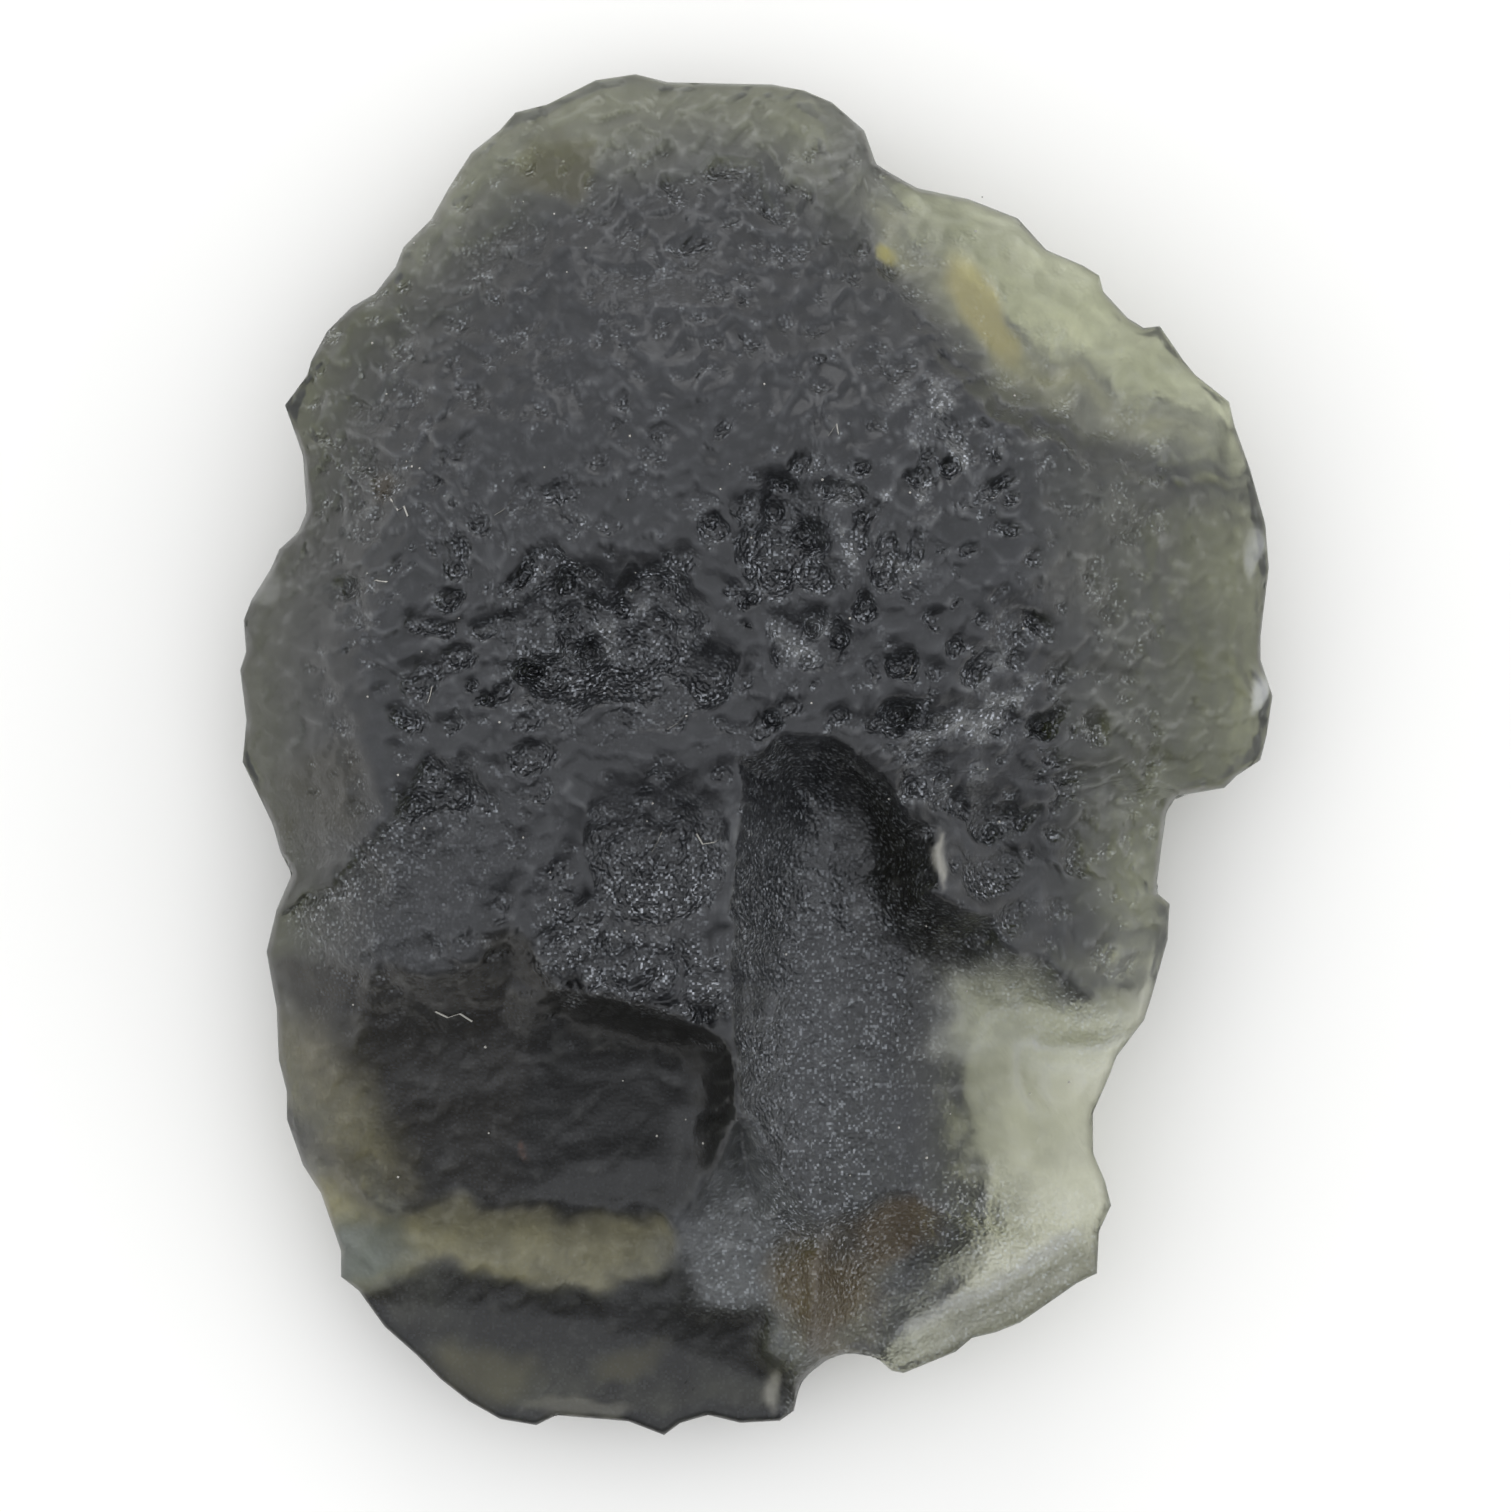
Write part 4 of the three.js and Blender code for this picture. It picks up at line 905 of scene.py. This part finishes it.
# %% Paint the zones, the pale lips and facets as wear and painted highlight, and painted shade in roots and gaps
LOOSENESS, PATCH_SHARE, ZONE_FULL, ZONE_PATCHES = 2, 0.6, 0.98, 0.25
EDGE_CALM, WEAR_AND_HIGHLIGHT_TINT, PAINTED_SHADE_GAIN, PATCH_SHADE = 0.3, 0.5, 0.6, 0.12
WEAR_AND_HIGHLIGHT_CLOUD, CLOUD_MOST = 0.14, 0.3


def blend_in(weight, colour, clear_share):
    """Mixes a colour and a share of clear glass into the skin, as far as the weight says."""
    tints[:] += weight[:, None] * (linear(colour) - tints)
    clear[:] += weight * (clear_share - clear)


moved_x, moved_y = wander(x, y)
loose_x, loose_y = x + LOOSENESS * (moved_x - x), y + LOOSENESS * (moved_y - y)
patches = PATCH_SHARE * drift(x, y, size=1.1, salt=71)
patches += (1 - PATCH_SHARE) * drift(x, y, size=0.45, salt=72)
for area in TINT_ZONES.values():
    weight = zone(loose_x, loose_y, area["edge"], area["soft"]) * (ZONE_FULL + ZONE_PATCHES * patches)
    blend_in(np.clip(weight, 0, 1), area["colour"], area["clear"])
# Lips and facets get pale wear and painted highlight. Roots, hollows and gaps below 0 get painted
# shade.
wear_and_painted_light = np.where(is_upper, wear_and_painted_light * (1 - EDGE_CALM * edge_share), 0)
tints += np.clip(WEAR_AND_HIGHLIGHT_TINT * wear_and_painted_light, 0, 1)[:, None] * (linear(PALE_WEAR_AND_HIGHLIGHT_GLASS) - tints)
tints *= (1 + PAINTED_SHADE_GAIN * np.minimum(wear_and_painted_light, 0) + PATCH_SHADE * patches)[:, None]
tints = np.clip(tints, 0, 1)
clear -= np.clip(WEAR_AND_HIGHLIGHT_CLOUD * wear_and_painted_light, 0, CLOUD_MOST)
print("mean clear share of the skin:", round(clear.mean(), 3))

# %% Marks: middle x and y, half width, half length, turn, colour, share of clear glass
MARKS = {
    "ochre spot": (3.3, 12.45, 0.42, 0.36, 0, "#ccc278", 0.6),
    # Partly real amber colour, partly painted light that lifts the shaded wall of the flange.
    "amber streak with painted light": (5.45, 11.1, 0.85, 1.8, 25, "#d6cc92", 0.68),
    "brown step, lower end": (1.8, -13.3, 1.8, 1.9, 10, "#988262", 0.85),
    "brown step, upper end": (3.5, -11.8, 1.5, 1.0, 20, "#8c765a", 0.84),
    "rust speck": (-5.75, -9.6, 0.12, 0.2, 30, "#8a5438", 0.6),
    "whitish crust": (4.42, -2.75, 0.16, 0.8, 12, "#b4b0a4", 0.5),
    "brown pit": (-9.0, 6.8, 0.6, 0.5, 0, "#7a6a50", 0.85),
    "yellowish patch of the top": (-5.0, 14.6, 1.4, 0.8, 20, "#c8c29c", 0.93),
    # Painted highlights along the rim: the next four marks, on the right edge and along the foot.
    "painted highlight on the right edge": (12.5, 1.6, 0.3, 0.7, 0, "#d8d8d4", 0.55),
    "painted highlight on the edge above it": (12.3, 4.9, 0.3, 0.9, 0, "#c8c8c4", 0.65),
    "painted highlight along the foot": (-4.5, -16.4, 1.7, 0.3, 0, "#a8a494", 0.86),
    "painted highlight on the foot's corner": (0.5, -16.0, 0.35, 0.8, 0, "#c0bcb0", 0.75),
    "olive skirt, left": (-6.8, -15.3, 1.7, 0.9, -20, "#8c8560", 0.93),
    "olive skirt, right": (-3.0, -15.0, 1.2, 0.6, 10, "#847c58", 0.92),
    # Painted highlight on the left rim.
    "painted highlight on the left edge": (-12.4, 4.3, 0.5, 0.8, 20, "#b0b0aa", 0.78),
    "brownish left hollow": (-10.9, -1.1, 1.5, 1.6, 0, "#868066", 0.95),
}
print("marks:", ", ".join(MARKS))

# %% Paint the marks and store it all on the vertices
MARK_GAIN, MARK_FULL, MARK_PATCHES, MARK_HEIGHT = 1.6, 0.9, 0.5, 1.0
UNDER_FROST = 0.2
for *oval, colour, clear_share in MARKS.values():
    weight = pit_depth(loose_x, loose_y, (*oval, MARK_HEIGHT)) * is_upper
    weight = MARK_GAIN * weight * (MARK_FULL + MARK_PATCHES * patches)
    blend_in(np.clip(weight, 0, 1), colour, clear_share)
frosted = np.where(is_upper, frosted, UNDER_FROST)
tint_layer = mesh.attributes.new("tint", "FLOAT_COLOR", "POINT")
tint_layer.data.foreach_set("color", np.column_stack([tints, np.ones(len(places))]).ravel())
mesh.attributes.new("clear", "FLOAT", "POINT").data.foreach_set("value", clear)
# The frosted values also set where the glass paints its glints.
mesh.attributes.new("frosted", "FLOAT", "POINT").data.foreach_set("value", frosted)
print("attributes: tint, clear and frosted")

# %% [markdown]
# ## Etched natural glass
# Moldavite is silica glass with little iron: clear olive in a thin edge and almost black in a lump.
# Plain transmission with absorption does that by itself, because the colour then comes from the
# thickness of the mesh. Etching leaves a satin surface, which is roughness. Where the skin is frosted
# a fine bump adds to the grit of the mesh, and tiny pale grains painted into the colour stand in for
# the glints that give the glitter of the pits.

# %% Material helper
def add_node(tree, kind, settings=None, inputs=None):
    """Adds a node. Its inputs, by name or number, get a value or a link from another node."""
    node = tree.nodes.new(kind)
    for name, value in (settings or {}).items():
        setattr(node, name, value)
    for socket, value in (inputs or {}).items():
        if isinstance(value, bpy.types.NodeSocket):
            tree.links.new(value, node.inputs[socket])
        else:
            node.inputs[socket].default_value = value
    return node


# %% Attributes and places that the glass reads
glass = bpy.data.materials.new("etched_moldavite_glass")
glass.use_nodes = True
tree = glass.node_tree
tree.nodes.clear()
place = add_node(tree, "ShaderNodeTexCoord").outputs["Object"]
tint = add_node(tree, "ShaderNodeAttribute", {"attribute_name": "tint"}).outputs["Color"]
clearness = add_node(tree, "ShaderNodeAttribute", {"attribute_name": "clear"}).outputs["Fac"]
frost = add_node(tree, "ShaderNodeAttribute", {"attribute_name": "frosted"}).outputs["Fac"]
print("material:", glass.name)

# %% Painted glints: one grain in four of the frosted skin is painted pale and less clear
GLINT_GRAIN_MM, GLINT_FROM, GLINT_CLOUD, PAINTED_GLINT_COLOUR = 0.06, 0.74, 0.5, "#d4d8dc"
COLOUR_A, COLOUR_B, COLOUR_MIXED = 6, 7, 2
grains = add_node(
    tree, "ShaderNodeVectorMath", {"operation": "SNAP"}, {0: place, 1: (GLINT_GRAIN_MM * MM,) * 3}
).outputs["Vector"]
chance = add_node(tree, "ShaderNodeTexWhiteNoise", inputs={"Vector": grains}).outputs["Value"]
glint_spots = add_node(
    tree, "ShaderNodeMapRange", inputs={"Value": chance, "From Min": GLINT_FROM}
).outputs["Result"]
painted_glints = add_node(
    tree, "ShaderNodeMath", {"operation": "MULTIPLY"}, {0: glint_spots, 1: frost}
).outputs["Value"]
skin_tint = add_node(
    tree,
    "ShaderNodeMix",
    {"data_type": "RGBA"},
    {"Factor": painted_glints, COLOUR_A: tint, COLOUR_B: (*linear(PAINTED_GLINT_COLOUR), 1)},
).outputs[COLOUR_MIXED]
skin_clear = add_node(
    tree,
    "ShaderNodeMath",
    {"operation": "MULTIPLY_ADD"},
    {0: painted_glints, 1: -GLINT_CLOUD, 2: clearness},
).outputs["Value"]
print("glitter grains in mm:", GLINT_GRAIN_MM)

# %% Etched moldavite glass: satin reflections over a deep olive body
GLASS_IOR, SATIN_ROUGHNESS = 1.49, 0.34
ABSORPTION_PER_MM, ABSORPTION_COLOUR = 0.54, (0.30, 0.33, 0.0, 1.0)
GRAIN_MM, BUMP_MM = 0.1, 0.1
grain = add_node(
    tree, "ShaderNodeTexNoise", inputs={"Vector": place, "Scale": 1 / (GRAIN_MM * MM), "Detail": 0.0}
).outputs["Fac"]
etching = add_node(
    tree, "ShaderNodeBump", inputs={"Height": grain, "Distance": BUMP_MM * MM, "Strength": frost}
).outputs["Normal"]
surface = add_node(
    tree,
    "ShaderNodeBsdfPrincipled",
    inputs={
        "Base Color": skin_tint,
        "Roughness": SATIN_ROUGHNESS,
        "IOR": GLASS_IOR,
        "Transmission Weight": skin_clear,
        "Normal": etching,
    },
).outputs["BSDF"]
body = add_node(
    tree,
    "ShaderNodeVolumeAbsorption",
    inputs={"Color": ABSORPTION_COLOUR, "Density": ABSORPTION_PER_MM / MM},
).outputs["Volume"]
add_node(tree, "ShaderNodeOutputMaterial", inputs={"Surface": surface, "Volume": body})
mesh.materials.append(glass)
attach(stone, "root")
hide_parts("moldavite")
print("nodes in the glass:", len(tree.nodes))

# %% [markdown]
# ## Dust and lint
# The stone has lain about, so a few short fibres and specks of dust cling to it. Each fibre is a thin
# three-sided tube along listed places, and each speck a tiny round grain. Hair particles would do
# it too, but a few small meshes are exact and cost nothing.

# %% Fibres: places along each one, in millimetres
FIBRES = [
    [(-8.95, 6.3), (-8.75, 6.0), (-8.6, 6.1), (-8.5, 5.85)],
    [(-6.35, 5.85), (-6.1, 6.0), (-5.9, 6.25)],
    [(-7.9, 1.7), (-7.95, 1.45), (-8.0, 1.3)],
    [(-2.15, 0.65), (-1.9, 0.8), (-1.75, 1.0)],
    [(-1.45, -1.9), (-1.3, -2.15), (-1.0, -2.1), (-0.85, -2.0)],
    [(-2.55, -2.35), (-2.4, -2.1), (-2.3, -1.85)],
    [(1.75, 7.75), (1.95, 8.05), (2.0, 7.8)],
    [(-0.95, 0.8), (-0.75, 1.0)],
    [(-7.9, -6.3), (-7.6, -6.45), (-7.3, -6.35), (-7.0, -6.55)],
    [(-9.7, 4.1), (-9.3, 4.3), (-9.0, 4.25)],
    [(3.6, 1.9), (3.75, 2.0), (3.8, 2.2)],
]
print("fibres:", len(FIBRES))

# %% Lay the fibres on the stone: three corners, sideways and up in radii, at each place
FIBRE_RADIUS = 0.018
FIBRE_CORNERS = [(0.0, 2.5), (0.9, 1.0), (-0.9, 1.0)]


def on_stone(points):
    """Places on the upper face at these points, for things that lie on it."""
    at_x, at_y = np.array(points, float).T
    heights, _, _ = upper_height(at_x, at_y, np.maximum(depth_inside(at_x, at_y, OUTLINE), 0))
    return [Vector(spot) for spot in zip(at_x, at_y, heights)]


dust = bmesh.new()
for points in FIBRES:
    rings = []
    for middle in on_stone(points):
        corners = [middle + FIBRE_RADIUS * Vector((side, side, up)) for side, up in FIBRE_CORNERS]
        rings.append([dust.verts.new(corner * MM) for corner in corners])
    for ring, after in zip(rings, rings[1:]):
        for i in range(len(ring)):
            dust.faces.new((ring[i], ring[i - 1], after[i - 1], after[i]))
    dust.faces.new(rings[0])
    dust.faces.new(reversed(rings[-1]))
print("faces of the fibres:", len(dust.faces))

# %% Specks of dust, scattered by the seeded rule
SPECK_COUNT, SPECK_RADIUS, SPECK_LIFT = 70, (0.02, 0.04), Vector((0, 0, 0.01))
DUSTY_X, DUSTY_Y = (-10, 9), (-12, 14)
specks = [(draw.uniform(*DUSTY_X), draw.uniform(*DUSTY_Y)) for _ in range(SPECK_COUNT)]
for middle in on_stone(specks):
    made = bmesh.ops.create_icosphere(dust, subdivisions=1, radius=draw.uniform(*SPECK_RADIUS) * MM)
    bmesh.ops.translate(dust, verts=made["verts"], vec=(middle + SPECK_LIFT) * MM)
bmesh.ops.recalc_face_normals(dust, faces=dust.faces)
dust_mesh = bpy.data.meshes.new("lint")
dust.to_mesh(dust_mesh)
dust.free()
lint = bpy.data.objects.new("lint", dust_mesh)
bpy.context.scene.collection.objects.link(lint)
print("specks:", len(specks))

# %% Pale lint: dull, soft and off-white
LINT_COLOUR, LINT_ROUGHNESS = "#a8a59c", 0.9
fluff = bpy.data.materials.new("pale_lint")
fluff.use_nodes = True
fluff_shader = fluff.node_tree.nodes["Principled BSDF"]
fluff_shader.inputs["Base Color"].default_value = (*linear(LINT_COLOUR), 1)
fluff_shader.inputs["Roughness"].default_value = LINT_ROUGHNESS
dust_mesh.materials.append(fluff)
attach(lint, "root")
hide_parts("moldavite")
print("material:", fluff.name)

# %% [markdown]
# ## Floor, light and camera
# A plain white floor sends light back up through the thin glass. The light is a soft bright surround
# that is darker on the near side and a little darker on the far side, with one soft key light from
# behind the top of the picture, which shows the sculpture. A ring of lamps could do the same, but
# each lamp would show as a glint. The camera looks straight down through a long lens.

# %% Floor of white paper: matt, and a little warm under the cool surround
FLOOR_SIZE, PAPER_COLOUR, PAPER_ROUGHNESS = 1200 * MM, "#f4f1eb", 0.9
floor_mesh = bpy.data.meshes.new("floor")
plane = bmesh.new()
bmesh.ops.create_grid(plane, x_segments=1, y_segments=1, size=FLOOR_SIZE / 2)
plane.to_mesh(floor_mesh)
plane.free()
floor = bpy.data.objects.new("floor", floor_mesh)
bpy.context.scene.collection.objects.link(floor)
paper = bpy.data.materials.new("white_paper")
paper.use_nodes = True
paper_shader = paper.node_tree.nodes["Principled BSDF"]
paper_shader.inputs["Base Color"].default_value = (*linear(PAPER_COLOUR), 1)
paper_shader.inputs["Roughness"].default_value = PAPER_ROUGHNESS
floor_mesh.materials.append(paper)
print("floor in m:", FLOOR_SIZE)

# %% Soft surround: its level from the near side to the far side
NEAR_SIDE = {"From Min": -1.0, "From Max": -0.25, "To Min": 0.2, "To Max": 1.45}
FAR_SIDE = {"From Min": 0.2, "From Max": 0.9, "To Min": 1.0, "To Max": 0.6}
SURROUND_COLOUR = (0.95, 0.98, 1.03, 1.0)
scene = bpy.context.scene
world = bpy.data.worlds.new("soft surround")
scene.world = world
world.use_nodes = True
sky = world.node_tree
sky.nodes.clear()
direction = add_node(sky, "ShaderNodeTexCoord").outputs["Generated"]
northing = add_node(sky, "ShaderNodeSeparateXYZ", inputs={"Vector": direction}).outputs["Y"]
near = add_node(sky, "ShaderNodeMapRange", inputs={"Value": northing, **NEAR_SIDE}).outputs["Result"]
far = add_node(sky, "ShaderNodeMapRange", inputs={"Value": northing, **FAR_SIDE}).outputs["Result"]
level = add_node(sky, "ShaderNodeMath", {"operation": "MULTIPLY"}, {0: near, 1: far}).outputs["Value"]
background = add_node(
    sky, "ShaderNodeBackground", inputs={"Color": SURROUND_COLOUR, "Strength": level}
).outputs["Background"]
add_node(sky, "ShaderNodeOutputWorld", inputs={"Surface": background})
print("surround:", world.name)

# %% Key light
KEY_AT, KEY_SIZE, KEY_WATTS = Vector((-10, 250, 110)) * MM, (180 * MM, 120 * MM), 0.15
key_data = bpy.data.lights.new("key", "AREA")
key_data.shape = "RECTANGLE"
key_data.size, key_data.size_y = KEY_SIZE
key_data.energy = KEY_WATTS
key = bpy.data.objects.new("key", key_data)
key.location = KEY_AT
key.rotation_euler = (-KEY_AT).to_track_quat("-Z", "Y").to_euler()
scene.collection.objects.link(key)
print("key light in watts:", key_data.energy)

# %% Camera, straight above the stone, with the picture's frame at the height of the rim
FRAME_WIDTH, LENS, SENSOR, CLIP_START = 37.8 * MM, 200.0, 36.0, 5 * MM
camera_data = bpy.data.cameras.new("camera")
camera_data.lens, camera_data.sensor_width = LENS, SENSOR
camera_data.clip_start = CLIP_START
camera = bpy.data.objects.new("camera", camera_data)
camera.location = (0, 0, RIM_LEVEL * MM + FRAME_WIDTH * LENS / SENSOR)
scene.collection.objects.link(camera)
scene.camera = camera
scene.view_settings.view_transform = "Standard"
print("camera height in mm:", round(camera.location.z / MM, 1))
